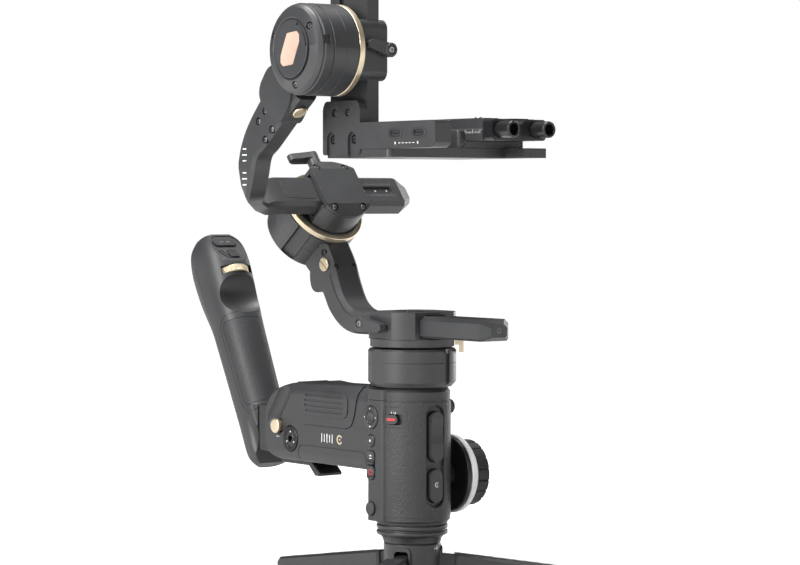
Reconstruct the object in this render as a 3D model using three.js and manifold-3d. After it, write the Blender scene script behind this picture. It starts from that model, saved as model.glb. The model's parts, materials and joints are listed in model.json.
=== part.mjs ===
// Three-axis handheld gimbal stabilizer with an inclined roll axis, a battery arm with a sling grip,
// and a mini tripod. Millimetres, +Z up, lens direction -Y, origin at the centre of the tripod hub's
// flat underside, on the pan axis. Each named mesh is one physical piece.
import * as THREE from "three";
import { mergeVertices } from "three/addons/utils/BufferGeometryUtils.js";
import Module from "manifold-3d";

// ---------------------------------------------------------------- driving dimensions
const GAP = 0.3; // running gap kept between neighbouring pieces
const SHORTEST_EDGE = 0.004; // finer slivers left by a cut are closed up

const LEG_COUNT = 3;
const LEG_PIVOT_RADIUS = 17;
const LEG_PIVOT_Z = 13;
const LEG_TIP_RADIUS = 165;
const LEG_SLOPE = THREE.MathUtils.degToRad(8.3);
const LEG_WIDTH = 17;
const LEG_DEPTH = 16;
const KNUCKLE_WIDTH = 10;
const FOOT_BOTTOM = -20;
const HUB_RADIUS = 21.3;
const HUB_TOP = 28;
const COLLAR_TOP = 42;
const FLANGE_RADIUS = 26.7;

const HANDLE_RADIUS = 28.5;
const HANDLE_BOTTOM = COLLAR_TOP + GAP;
const HANDLE_TOP = 144.4;
const CONTROL_FACE_X = -31;
const CONTROL_Y = 10;
const PANEL_BOTTOM = 49;
const PANEL_TOP = 134;
const PANEL_THICKNESS = 1.3;
const SWITCH_ANGLE = THREE.MathUtils.degToRad(-65);
const SWITCH_Z = 121.5;

const WHEEL_Z = 77;
const WHEEL_RADIUS = 29;

const ARM_HALF_WIDTH = 25;
const ARM_FRONT = 17;
const ARM_BOTTOM = 80.5;

const SLING_FOOT = [0, 183.5, 79];
const SLING_LEAN = THREE.MathUtils.degToRad(26);
const FACE_TILT = THREE.MathUtils.degToRad(66); // of the sling grip's top face, from level
const FACE_AT = [-19.9, 170];

const PAN_MOTOR_RADIUS = 33;
const PAN_ROTOR_BOTTOM = 174.5;
const PAN_BAR_BOTTOM = 182;
const PAN_BAR_TOP = 198;
const PAN_BAR_HALF_WIDTH = 13.5;
const PAN_BAR_FRONT = -102;

const ROLL_CENTRE = [0, 106, 282];
const ROLL_PITCH = THREE.MathUtils.degToRad(52);
const MOTOR_RADIUS = 32.5;
const ROLL_BAR_HALF_HEIGHT = 14;
const ROLL_BAR_BACK = 0.5;
const ROLL_BAR_FRONT = 15.5;
const ROLL_BAR_END = 70;

const TILT_Y = -20;
const TILT_Z = 391;
const TILT_RADIUS = 33;

const RAIL_BACK_X = -73;
const RAIL_FRONT_X = -63;
const RAIL_TOP = 450;
const PLATE_BOTTOM = 314;
const PLATE_TOP = 321;
const CAMERA_FACE_Z = 342;
const ROD_RADIUS = 6;
const ROD_Z = 334;
const ROD_X = [-2, 31];

// ---------------------------------------------------------------- materials
const finish = (color, roughness, metalness) =>
  new THREE.MeshStandardMaterial({ color, roughness, metalness });
const DARK_METAL = finish(0x4c4d4f, 0.45, 0.6);
const DARK_PLASTIC = finish(0x48494b, 0.55, 0);
const BLACK_PLASTIC = finish(0x161618, 0.4, 0);
const LEATHERETTE = finish(0x3f4042, 0.8, 0);
const RUBBER = finish(0x262728, 0.85, 0);
const CHAMPAGNE = finish(0xd7c8a5, 0.3, 0.9);
const RED = finish(0xd8383c, 0.4, 0);
const WHITE = finish(0xf2f2f0, 0.4, 0);
const CELL_WRAP = finish(0x2f5d8a, 0.5, 0);

// ---------------------------------------------------------------- solid modelling helpers
const wasm = await Module();
wasm.setup();

function welded(geometry) {
  const loose = geometry.index ? geometry.toNonIndexed() : geometry;
  const bare = new THREE.BufferGeometry();
  bare.setAttribute("position", loose.getAttribute("position"));
  return mergeVertices(bare, 1e-4);
}

// A closed geometry as a manifold solid with its faces turned outwards.
function solidOf(geometry) {
  const merged = geometry.userData.closed ? geometry : welded(geometry);
  const triVerts = [];
  for (let i = 0; i < merged.index.count; i += 3) {
    const [a, b, c] = [0, 1, 2].map((k) => merged.index.getX(i + k));
    if (a !== b && b !== c && a !== c) triVerts.push(a, b, c);
  }
  const make = (order) =>
    new wasm.Manifold(
      new wasm.Mesh({
        numProp: 3,
        vertProperties: merged.attributes.position.array,
        triVerts: new Uint32Array(order),
      }),
    );
  const made = make(triVerts);
  return made.volume() > 0 ? made : make(triVerts.reverse());
}

function geometryOf(solid) {
  const mesh = solid.simplify(SHORTEST_EDGE).getMesh();
  const geometry = new THREE.BufferGeometry();
  const position = new Float32Array(mesh.vertProperties);
  geometry.setAttribute("position", new THREE.BufferAttribute(position, 3));
  geometry.setIndex(new THREE.BufferAttribute(new Uint32Array(mesh.triVerts), 1));
  geometry.userData.closed = true;
  return geometry;
}

const join = (...pieces) => geometryOf(pieces.map(solidOf).reduce((a, b) => a.add(b)));
const common = (...pieces) => geometryOf(pieces.map(solidOf).reduce((a, b) => a.intersect(b)));
const cut = (base, ...tools) =>
  geometryOf(tools.map(solidOf).reduce((a, b) => a.subtract(b), solidOf(base)));

// ---------------------------------------------------------------- shapes
const polygon = (points) => new THREE.Shape(points.map(([a, b]) => new THREE.Vector2(a, b)));

function disc(a, b, radius) {
  return new THREE.Shape().absarc(a, b, radius, 0, 2 * Math.PI);
}

function roundedRect(a0, b0, a1, b1, radius) {
  const shape = new THREE.Shape();
  const quarter = Math.PI / 2;
  shape.absarc(a1 - radius, b0 + radius, radius, -quarter, 0);
  shape.absarc(a1 - radius, b1 - radius, radius, 0, quarter);
  shape.absarc(a0 + radius, b1 - radius, radius, quarter, 2 * quarter);
  shape.absarc(a0 + radius, b0 + radius, radius, 2 * quarter, 3 * quarter);
  return shape;
}

// A slot with half-round ends about a centre.
function pill(a, b, width, height) {
  const radius = Math.min(width, height) / 2;
  const turn = width > height ? 0 : Math.PI / 2;
  const reach = Math.max(width, height) / 2 - radius;
  const [da, db] = [reach * Math.cos(turn), reach * Math.sin(turn)];
  const shape = new THREE.Shape();
  shape.absarc(a + da, b + db, radius, turn - Math.PI / 2, turn + Math.PI / 2);
  shape.absarc(a - da, b - db, radius, turn + Math.PI / 2, turn + 1.5 * Math.PI);
  return shape;
}

const UNIT = {
  x: new THREE.Vector3(1, 0, 0),
  y: new THREE.Vector3(0, 1, 0),
  z: new THREE.Vector3(0, 0, 1),
  minusY: new THREE.Vector3(0, -1, 0),
};
// Shapes are drawn in (Y, Z) for a prism along x, (X, Z) along y and (X, Y) along z.
const PLANE = {
  x: new THREE.Matrix4().makeBasis(UNIT.y, UNIT.z, UNIT.x),
  y: new THREE.Matrix4().makeBasis(UNIT.x, UNIT.z, UNIT.minusY),
  z: new THREE.Matrix4(),
};

function prism(axis, from, to, shape, { bevel = 0, segments = 8 } = {}) {
  const geometry = new THREE.ExtrudeGeometry(shape, {
    depth: to - from - 2 * bevel,
    bevelEnabled: bevel > 0,
    bevelThickness: bevel,
    bevelSize: bevel,
    bevelOffset: -bevel,
    bevelSegments: 1,
    curveSegments: segments,
  });
  geometry.translate(0, 0, (axis === "y" ? -to : from) + bevel);
  return geometry.applyMatrix4(PLANE[axis]);
}

function box(low, high) {
  const size = high.map((value, i) => value - low[i]);
  const centre = high.map((value, i) => (value + low[i]) / 2);
  return new THREE.BoxGeometry(...size).translate(...centre);
}

// A body of revolution about +Z from [radius, height] pairs that start and end on the axis.
function turned(profile, segments = 40) {
  const points = profile.map(([radius, height]) => new THREE.Vector2(radius, height));
  return new THREE.LatheGeometry(points, segments).rotateX(Math.PI / 2);
}

const alongX = (geometry) => geometry.rotateY(Math.PI / 2);
const facingFront = (geometry) => geometry.rotateX(Math.PI / 2);

// A plain disc about +Z with a small chamfer on both edges.
function chamferedDisc(radius, low, high, chamfer, segments = 40) {
  return turned(
    [
      [0, low],
      [radius - chamfer, low],
      [radius, low + chamfer],
      [radius, high - chamfer],
      [radius - chamfer, high],
      [0, high],
    ],
    segments,
  );
}

// A closed skin over rings of the same number of points, with a fan over each end.
function loft(rings) {
  const count = rings[0].length;
  const middle = (ring) =>
    ring.reduce((sum, p) => sum.add(p), new THREE.Vector3()).divideScalar(count);
  const points = [...rings.flat(), middle(rings[0]), middle(rings.at(-1))];
  const index = [];
  const firstCap = rings.length * count;
  const lastRing = (rings.length - 1) * count;
  for (let i = 0; i < count; i++) {
    const next = (i + 1) % count;
    for (let r = 0; r < rings.length - 1; r++) {
      const [a, b] = [r * count + i, r * count + next];
      index.push(a, b, b + count, a, b + count, a + count);
    }
    index.push(firstCap, next, i, firstCap + 1, lastRing + i, lastRing + next);
  }
  const geometry = new THREE.BufferGeometry().setFromPoints(points);
  geometry.setIndex(index);
  return geometry;
}

// A bar with chamfered edges through stations of [centre, half width vector, half height vector].
function sweptBar(stations, chamfer) {
  const rings = stations.map(([at, side, up]) => {
    const [centre, across, upward] = [at, side, up].map((v) => new THREE.Vector3(...v));
    const a = 1 - chamfer / across.length();
    const b = 1 - chamfer / upward.length();
    const outline = [[1, -b], [1, b], [a, 1], [-a, 1], [-1, b], [-1, -b], [-a, -1], [a, -1]];
    return outline.map(([s, t]) =>
      centre.clone().addScaledVector(across, s).addScaledVector(upward, t),
    );
  });
  return loft(rings);
}

// A clamp lever: a round hub about +Z with a tapering paddle, lifted by `rise`, turned
// to an angle in its plane.
function clampLever(length, angle, rise = 0) {
  const hub = chamferedDisc(5.2, 0, 8 + rise, 0.8, 24);
  const paddle = prism("z", 2 + rise, 7.4 + rise, polygon([[-1, -4.8], [length - 3, -2.6],
    [length, 1], [length - 2, 4.2], [8, 4.6], [-1, 4.8]]), { bevel: 0.7 });
  return join(hub, paddle).rotateZ(angle);
}

// A slotted lock disc about +Z.
function slottedDisc(radius, thickness) {
  const slot = box([-radius - 1, -0.8, thickness - 1], [radius + 1, 0.8, thickness + 1]);
  return cut(chamferedDisc(radius, 0, thickness, 0.5, 24), slot);
}

const group = new THREE.Group();
group.name = "gimbal_stabilizer";

function add(name, geometry, material, parent = group) {
  const mesh = new THREE.Mesh(geometryOf(solidOf(geometry)), material);
  mesh.name = name;
  parent.add(mesh);
}

// ---------------------------------------------------------------- mini tripod
// The outline of a leg in its own plane: radius outwards, height up.
function legSolid() {
  const [cos, sin] = [Math.cos(LEG_SLOPE), Math.sin(LEG_SLOPE)];
  const onLeg = (along, off) => [
    LEG_PIVOT_RADIUS + along * cos + off * sin,
    LEG_PIVOT_Z - along * sin + off * cos,
  ];
  const length = (LEG_TIP_RADIUS - LEG_PIVOT_RADIUS) / cos;
  const half = LEG_DEPTH / 2;
  const neck = prism("x", -KNUCKLE_WIDTH / 2, KNUCKLE_WIDTH / 2, polygon([
    onLeg(-4, -half + 2), onLeg(20, -half + 1), onLeg(20, half - 1), onLeg(-4, half - 2),
    onLeg(-7, 2), onLeg(-7, -2),
  ]));
  const blade = prism("x", -LEG_WIDTH / 2, LEG_WIDTH / 2, polygon([
    onLeg(15, -half + 1), onLeg(length - 14, -half + 3), onLeg(length, -half + 6),
    onLeg(length, half - 3), onLeg(length - 4, half), onLeg(15, half),
  ]), { bevel: 1.6 });
  return join(neck, blade);
}

function footSolid() {
  const [y0, y1] = [LEG_TIP_RADIUS - 24, LEG_TIP_RADIUS - 6];
  return prism("x", -6, 6, polygon([
    [y0, FOOT_BOTTOM], [y1, FOOT_BOTTOM], [y1 + 2, FOOT_BOTTOM + 3],
    [y1 + 1, -11.6], [y0 - 1, -9.1], [y0 - 2, FOOT_BOTTOM + 3],
  ]), { bevel: 1 });
}

function addTripod() {
  const slots = [];
  for (let i = 0; i < LEG_COUNT; i++) {
    const turn = (i * 2 * Math.PI) / LEG_COUNT;
    const leg = new THREE.Group();
    leg.rotation.z = turn;
    group.add(leg);
    const relief = box([-LEG_WIDTH, LEG_TIP_RADIUS - 40, FOOT_BOTTOM - 1],
      [LEG_WIDTH, LEG_TIP_RADIUS + 5, -9]);
    add(`tripod_leg_${i + 1}`, legSolid(), DARK_METAL, leg);
    add(`tripod_foot_${i + 1}`, cut(common(footSolid(), relief), legClearance()), RUBBER, leg);
    const half = KNUCKLE_WIDTH / 2 + 0.4;
    slots.push(box([-half, 8.4, -1], [half, HUB_RADIUS + 5, 22.5]).rotateZ(turn));
  }
  const hub = chamferedDisc(HUB_RADIUS, 0, HUB_TOP, 0.8, 36);
  add("tripod_hub", cut(hub, ...slots), DARK_METAL);
  add("tripod_collar", turned([
    [0, HUB_TOP + GAP], [HUB_RADIUS, HUB_TOP + GAP], [22, 31], [23.6, 33.4], [FLANGE_RADIUS - 0.6, 34.6],
    [FLANGE_RADIUS, 35.2], [FLANGE_RADIUS, 36.8], [25.4, 37.6], [25.4, 38.6], [FLANGE_RADIUS, 39.3],
    [FLANGE_RADIUS, 41.4], [26, COLLAR_TOP], [0, COLLAR_TOP],
  ], 36), DARK_METAL);
}

// The leg grown downwards by the running gap, which the foot is trimmed to.
const legClearance = () => join(legSolid(), legSolid().translate(0, 0, -GAP));

// ---------------------------------------------------------------- handle
const onSwitchSide = (geometry) => geometry.rotateZ(SWITCH_ANGLE);
const triggerOutline = () => pill(0, 108.5, 11, 37);
const functionOutline = () => pill(0, 72, 11, 24.6);

function addHandle() {
  const body = prism("z", HANDLE_BOTTOM, HANDLE_TOP, disc(0, 0, HANDLE_RADIUS),
    { bevel: 1.4, segments: 20 });
  const controls = prism("z", 45, 143, roundedRect(CONTROL_FACE_X, -5, 0, ARM_FRONT - GAP, 4),
    { bevel: 1.4, segments: 2 });
  const behind = box([-40, ARM_FRONT - GAP, ARM_BOTTOM - GAP], [40, 40, HANDLE_TOP + 1]);
  const panelBed = grip(HANDLE_RADIUS - PANEL_THICKNESS - 0.1, HANDLE_RADIUS + 3, 0.15);
  const recess = prism("y", -40, -25.6, pill(0, 94, 16, 76), { segments: 4 });
  const triggerWell = prism("y", -26, -17.5, pill(0, 108.5, 12, 38), { segments: 4 });
  const functionWell = prism("y", -26, -19, pill(0, 72, 12, 25.6), { segments: 4 });
  const switchWell = onSwitchSide(prism("y", -31, -25, pill(0, SWITCH_Z, 15, 8), { segments: 4 }));
  const wells = buttonList().map(([, outline, , , segments]) =>
    prism("x", CONTROL_FACE_X - 1, CONTROL_FACE_X + 5, outline(0.4), { segments }));
  const jogWell = alongX(chamferedDisc(6, 25, 40, 0.1, 16)).translate(0, -6, 128.5);
  add("handle_body", cut(join(body, controls), behind, panelBed, recess, triggerWell,
    functionWell, switchWell, jogWell, ...wells), DARK_PLASTIC);

  const windowCut = onSwitchSide(prism("y", -40, -20, roundedRect(-9, 115.5, 9, 130.5, 3),
    { segments: 2 }));
  const slotCut = prism("y", -40, -20, pill(0, 94, 16.6, 76.6), { segments: 4 });
  const jogCut = box([20, -13.5, 120.5], [40, 1, PANEL_TOP + 1]);
  const wheelCut = alongX(chamferedDisc(11.4, 20, 40, 0.1, 24)).translate(0, 0, WHEEL_Z);
  add("grip_panel", cut(grip(HANDLE_RADIUS - PANEL_THICKNESS + 0.2, HANDLE_RADIUS + 0.5, 0),
    windowCut, slotCut, jogCut, wheelCut), LEATHERETTE);

  add("trigger", prism("y", -31, -21.5, triggerOutline(), { bevel: 1.2, segments: 4 }), DARK_PLASTIC);
  add("function_button", prism("y", -30, -21.5, functionOutline(), { bevel: 1.2, segments: 4 }),
    DARK_PLASTIC);
  add("power_switch", onSwitchSide(prism("y", -30.2, -26, pill(-2.2, SWITCH_Z, 10, 7),
    { bevel: 0.6, segments: 4 })), RED);
  for (const [name, outline, outer, material, segments] of buttonList()) {
    add(name, prism("x", outer, CONTROL_FACE_X + 3.4, outline(0), { bevel: 0.5, segments }),
      material);
  }
  add("jog_knob", alongX(chamferedDisc(5.4, 26.6, 33, 1.2, 24)).translate(0, -6, 128.5), DARK_PLASTIC);
}

// The leatherette wraps the front half of the handle between two radii.
function grip(inner, outer, grow) {
  const low = PANEL_BOTTOM - grow;
  const high = PANEL_TOP + grow;
  const shell = cut(prism("z", low, high, disc(0, 0, outer), { segments: 20 }),
    prism("z", low - 1, high + 1, disc(0, 0, inner), { segments: 20 }));
  return common(shell, box([-40, -40, low - 1], [40, -0.5 + grow, high + 1]));
}

// Buttons on the control face: name, outline grown by a clearance, outer X, material, arc steps.
function buttonList() {
  const round = (z, radius) => (grow) => disc(CONTROL_Y, z, radius + grow);
  return [
    ["nav_button", round(122, 8.6), CONTROL_FACE_X - 1.2, DARK_PLASTIC, 12],
    ["photo_button", round(104.6, 4.6), CONTROL_FACE_X - 1, DARK_PLASTIC, 8],
    ["rocker_button", (grow) => roundedRect(5.4 - grow, 87 - grow, 14.6 + grow, 97 + grow, 3),
      CONTROL_FACE_X - 1, DARK_PLASTIC, 2],
    ["record_button", (grow) => roundedRect(5.4 - grow, 76 - grow, 14.6 + grow, 86 + grow, 3),
      CONTROL_FACE_X - 1, DARK_PLASTIC, 2],
    ["mode_button", round(54, 5.2), CONTROL_FACE_X - 1.6, DARK_PLASTIC, 8],
  ];
}

// ---------------------------------------------------------------- focus wheel
function addFocusWheel() {
  const place = (geometry) => alongX(geometry).translate(0, 0, WHEEL_Z);
  add("focus_wheel_base", place(turned([
    [0, 28.9], [11, 28.9], [11, 31.5], [WHEEL_RADIUS - 1, 31.5], [WHEEL_RADIUS, 32.5],
    [WHEEL_RADIUS, 34.6], [8, 34.6], [8, 40], [0, 40],
  ], 36)), BLACK_PLASTIC);
  add("focus_wheel_scale", place(turned([
    [8.4, 35], [WHEEL_RADIUS + 0.6, 35], [WHEEL_RADIUS + 0.6, 39.4], [27, 42], [8.4, 42],
    [8.4, 35],
  ], 36)), WHITE);
  const ridges = [];
  for (let i = 0; i < 12; i++) {
    const angle = (i * Math.PI) / 6;
    ridges.push(prism("z", 43, 56, disc(26.4 * Math.cos(angle), 26.4 * Math.sin(angle), 2),
      { segments: 4 }));
  }
  add("focus_wheel_grip", place(cut(chamferedDisc(25, 42.3, 55, 1, 36), ...ridges)), RUBBER);
}

// ---------------------------------------------------------------- battery arm
// The arm's outer shape, shrunk inwards by `inset` (grown when negative).
function armShape(inset) {
  const rear = new THREE.Shape();
  rear.moveTo(ARM_FRONT, ARM_BOTTOM + inset);
  rear.lineTo(142 - inset, ARM_BOTTOM + inset);
  rear.quadraticCurveTo(158 - inset, ARM_BOTTOM + 2 + inset, 158 - inset, 106);
  rear.quadraticCurveTo(157 - inset, 128 - inset, 138 - inset, 138 - inset);
  rear.quadraticCurveTo(120, 144 - inset, 104, 140 - inset);
  rear.lineTo(ARM_FRONT, 142.8 - inset);
  const side = prism("x", -40, 40, rear, { segments: 6 });
  const half = ARM_HALF_WIDTH - inset;
  const section = roundedRect(-half, ARM_BOTTOM - 5, half, 145 - inset, 13);
  return common(side, prism("y", 0, 200, section, { segments: 3 }));
}

// The region that the battery cover occupies: -X side and top, grown by a clearance.
const coverRegion = (grow) =>
  prism("x", -40, 6 + grow, polygon([
    [34 - grow, 146], [38 - grow, 120], [46, 111 - grow], [108, 111 - grow],
    [114 + grow, 118], [117 + grow, 146],
  ]));

function addBatteryArm() {
  const shell = armShape(0);
  const coverBed = cut(coverRegion(0.3), armShape(2.8));
  const bay = box([-19.5, 36, 88], [19.5, 114, 138]);
  const seam = common(bay, armShape(3.4));
  const scallopAxis = new THREE.Vector3(0, -0.83, 0.55);
  const scallop = new THREE.CapsuleGeometry(8, 20, 6, 20);
  scallop.applyQuaternion(new THREE.Quaternion().setFromUnitVectors(UNIT.y, scallopAxis));
  scallop.translate(-29.5, 141, 120);
  const buttonWell = alongX(chamferedDisc(6.2, -26, -15.5, 0.1, 20)).translate(0, 138, 107);
  const portWell = alongX(chamferedDisc(10.2, -26, -20, 0.1, 24)).translate(0, 122.5, 98);
  const mountFace = box([-40, 156.5, 82], [40, 170, 124]);
  add("battery_arm_housing", cut(shell, coverBed, openBay(seam), scallop, buttonWell, portWell,
    mountFace), DARK_PLASTIC);
  add("battery_cover", common(cut(armShape(-0.8), armShape(2.4)), coverRegion(0)), DARK_PLASTIC);
  const cell = (x, z) => prism("y", 40, 109, disc(x, z, 9.4), { segments: 10 });
  add("battery_pack", join(cell(-9.2, 98), cell(9.2, 98), cell(0, 113.5)), CELL_WRAP);

  const teeth = [];
  for (let i = 0; i < 12; i++) {
    teeth.push(box([7.4, -0.5, 4.4], [9.8, 0.5, 6]).rotateZ((i * Math.PI) / 6));
  }
  const port = cut(chamferedDisc(9.8, 0, 5.2, 0.3, 24), ...teeth,
    chamferedDisc(3, 1, 7, 0.1, 16));
  add("accessory_port", port.rotateY(-Math.PI / 2).translate(-20.6, 122.5, 98), BLACK_PLASTIC);
  add("release_button", alongX(chamferedDisc(5.7, -29.5, -19.5, 0.8, 24)).translate(0, 138, 107),
    CHAMPAGNE);
  add("latch_lever", prism("x", -11, 11, polygon([
    [156, ARM_BOTTOM - GAP], [114, ARM_BOTTOM - GAP], [103, 71], [104, 69], [110, 69], [118, 76.4],
    [154, 76.4],
  ]), { bevel: 0.6 }), BLACK_PLASTIC);
}

// The battery bay runs up through the cover's bed so that it is open when the cover is off.
const openBay = (bay) => join(bay, box([-40, 46, 113], [0, 106, 134]));

// ---------------------------------------------------------------- sling grip
// A rounded section of the grip at a height along its axis.
function slingRing(height, forward, backward, halfWidth, power = 2.6) {
  const ring = [];
  const count = 28;
  for (let i = 0; i < count; i++) {
    const angle = (2 * Math.PI * i) / count;
    const [c, s] = [Math.cos(angle), Math.sin(angle)];
    const round = (v) => Math.sign(v) * Math.abs(v) ** (2 / power);
    const depth = s < 0 ? forward : backward;
    ring.push(new THREE.Vector3(halfWidth * round(c), depth * round(s), height));
  }
  return ring;
}

// Grip stations from the foot to the head: height, forward, backward and half width.
const SLING_STATIONS = [
  [-6, 15, 12, 13], [0, 18, 16, 16.5], [8, 19.5, 18.5, 17.5], [30, 19.5, 18.5, 17.6],
  [60, 19.5, 18.5, 18], [90, 20.2, 19, 18.5], [112, 21, 19.5, 19], [124, 21.5, 21.5, 19.8],
  [140, 22, 25, 20.4], [160, 23.5, 26.5, 20.8], [174, 22, 25, 20.4], [184, 18, 22, 18.5],
  [191, 12, 16, 14],
];
const slingLoft = (inset, from, to) =>
  loft(SLING_STATIONS.filter(([h]) => h >= from && h <= to)
    .map(([h, f, b, w]) => slingRing(h, f - inset, b - inset, w - inset)));

function addSlingGrip() {
  const grip = new THREE.Group();
  grip.position.set(...SLING_FOOT);
  grip.rotation.x = -SLING_LEAN;
  group.add(grip);

  const thumb = new THREE.SphereGeometry(1, 20, 14).scale(30, 15, 17).translate(-1, -25, 133);
  const sleeve = (grow) => box([-30, -30, 40.5 - grow], [30, -6 + grow, 112.5 + grow]);
  const bed = cut(sleeve(0.4), slingLoft(2.2, 30, 124.1));
  const face = new THREE.Matrix4().makeRotationX(FACE_TILT);
  const facePlane = box([-40, -60, 0], [40, 60, 60]).applyMatrix4(face).translate(0, ...FACE_AT);
  const dialWell = box([-14.6, -30, 151.7], [14.6, 3, 158.3]);
  const triggerWell = box([-6.5, 18.2, 126], [6.5, 40, 168]);
  const onFace = (geometry) => geometry.applyMatrix4(face).translate(0, ...FACE_AT);
  const buttonWell = onFace(prism("z", -4.5, 5, pill(-1.5, 12.6, 22.8, 9), { segments: 4 }));
  const rockerWell = onFace(prism("z", -5.5, 5, roundedRect(-3.6, -5.4, 5.6, 4.4, 2),
    { segments: 3 }));
  const foot = worldBox([-15, 182, 84], [15, 192, 120]);
  const clearFront = worldBox([-60, 100, 60], [60, 182, 121.5]);
  const body = join(slingLoft(0, -10, 200), foot);
  add("sling_grip_body", cut(body, clearFront, thumb, bed, facePlane, dialWell, triggerWell,
    buttonWell, rockerWell), DARK_PLASTIC, grip);

  const skin = cut(slingLoft(0, 30, 124.1), slingLoft(1.9, 8, 140.1));
  add("sling_grip_sleeve", cut(common(skin, sleeve(0)), clearFront), RUBBER, grip);
  add("sling_top_button", onFace(prism("z", -3.6, 1.2, pill(-1.5, 12.6, 22, 8.2),
    { bevel: 0.5, segments: 4 })), DARK_PLASTIC, grip);
  add("sling_rocker", onFace(prism("z", -3.6, 1, roundedRect(-3, -4.8, 5, 3.8, 1.6),
    { bevel: 0.5, segments: 3 })), DARK_PLASTIC, grip);
  add("sling_dial", chamferedDisc(14, 152.2, 157.8, 0.6, 40).translate(0, -11.6, 0), CHAMPAGNE, grip);
  add("sling_trigger", prism("x", -5.8, 5.8, polygon([
    [20.8, 127], [23, 127], [27, 133], [29.3, 146], [29.4, 158], [27, 167], [20.8, 167],
  ]), { bevel: 0.8 }), DARK_PLASTIC, grip);
}

// A box given in the object's frame, expressed in the sling grip's own leaning frame.
function worldBox(low, high) {
  const toLocal = new THREE.Matrix4().makeTranslation(...SLING_FOOT)
    .multiply(new THREE.Matrix4().makeRotationX(-SLING_LEAN)).invert();
  return box(low, high).applyMatrix4(toLocal);
}

// ---------------------------------------------------------------- pan axis
function addPanAxis() {
  const barrel = turned([
    [0, 145], [30.4, 145], [PAN_MOTOR_RADIUS, 148.4], [PAN_MOTOR_RADIUS, 172],
    [32, 173.2], [0, 173.2],
  ], 36);
  const notch = box([-2.2, -36, 140], [2.2, -31.6, 180]).rotateZ(THREE.MathUtils.degToRad(14));
  const flat = box([-36, -10, 140], [-32.2, 10, 180]);
  add("pan_motor_housing", cut(barrel, notch, flat), DARK_METAL);

  const rotor = chamferedDisc(31.5, PAN_ROTOR_BOTTOM, 181, 0.5, 36);
  const block = prism("z", 180.6, 200.6, roundedRect(-30, -27, 30, 27, 7),
    { bevel: 0.8, segments: 2 });
  const round = prism("z", 170, 210, disc(0, 0, 32.5), { segments: 24 });
  const channel = box([-PAN_BAR_HALF_WIDTH - GAP, -40, PAN_BAR_BOTTOM - GAP],
    [PAN_BAR_HALF_WIDTH + GAP, 40, PAN_BAR_TOP + GAP]);
  add("pan_clamp", cut(common(join(rotor, block), round), channel), DARK_METAL);
  add("pan_clamp_lever", clampLever(27, THREE.MathUtils.degToRad(-170)).rotateZ(Math.PI / 2)
    .applyMatrix4(FACING_LEFT).translate(-30.3, 16.4, 191.7), DARK_METAL);
  const tab = join(box([32, -2.2, 175.6], [35.6, 2.2, 179.6]),
    box([35, -3.2, 170.2], [38.4, 3.2, 179.6]));
  add("pan_lock_tab", tab.rotateZ(THREE.MathUtils.degToRad(-37.5)), CHAMPAGNE);
}

// Turns a piece built about +Z to stand about -X, with its own +X pointing along -Z.
const FACING_LEFT = new THREE.Matrix4().makeRotationY(-Math.PI / 2);

function addPanArm() {
  const half = (PAN_BAR_TOP - PAN_BAR_BOTTOM) / 2;
  const middle = (PAN_BAR_TOP + PAN_BAR_BOTTOM) / 2;
  const w = PAN_BAR_HALF_WIDTH;
  const bar = sweptBar([
    [[0, PAN_BAR_FRONT, middle], [w - 2, 0, 0], [0, 0, half - 1.5]],
    [[0, PAN_BAR_FRONT + 3, middle], [w, 0, 0], [0, 0, half]],
    [[0, 44, middle], [w, 0, 0], [0, 0, half]],
    [[0, 58, middle + 1], [w, 0, 0], [0, -1, half + 0.5]],
    [[0, 70, middle + 5.5], [w, 0, 0], [0, -4.5, half]],
    [[0, 80, middle + 14], [w, 0, 0], [0, -7.6, 5.8]],
    [[0, 88, middle + 27], [w, 0, 0], [0, -9, 4.6]],
    [[0, 97, middle + 40], [w, 0, 0], [0, -11, 7.5]],
    [[0, 110, middle + 54], [w, 0, 0], [0, -12.5, 9.5]],
  ], 2.6);
  const lobe = prism("x", 1 - w, w - 1, polygon([
    [88, 222], [94, 214], [104, 211.5], [111, 214], [114, 222], [113, 238], [100, 246],
  ]), { bevel: 0.8 });
  const motor = rollPlace(chamferedDisc(MOTOR_RADIUS + GAP, -60, 20, 0.1, 36));
  add("pan_arm", cut(join(bar, lobe), motor), DARK_METAL);
}

// ---------------------------------------------------------------- roll axis
// Geometry built about +Z moved onto the inclined roll axis.
const rollPlace = (geometry) => geometry.rotateX(ROLL_PITCH).translate(...ROLL_CENTRE);

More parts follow.
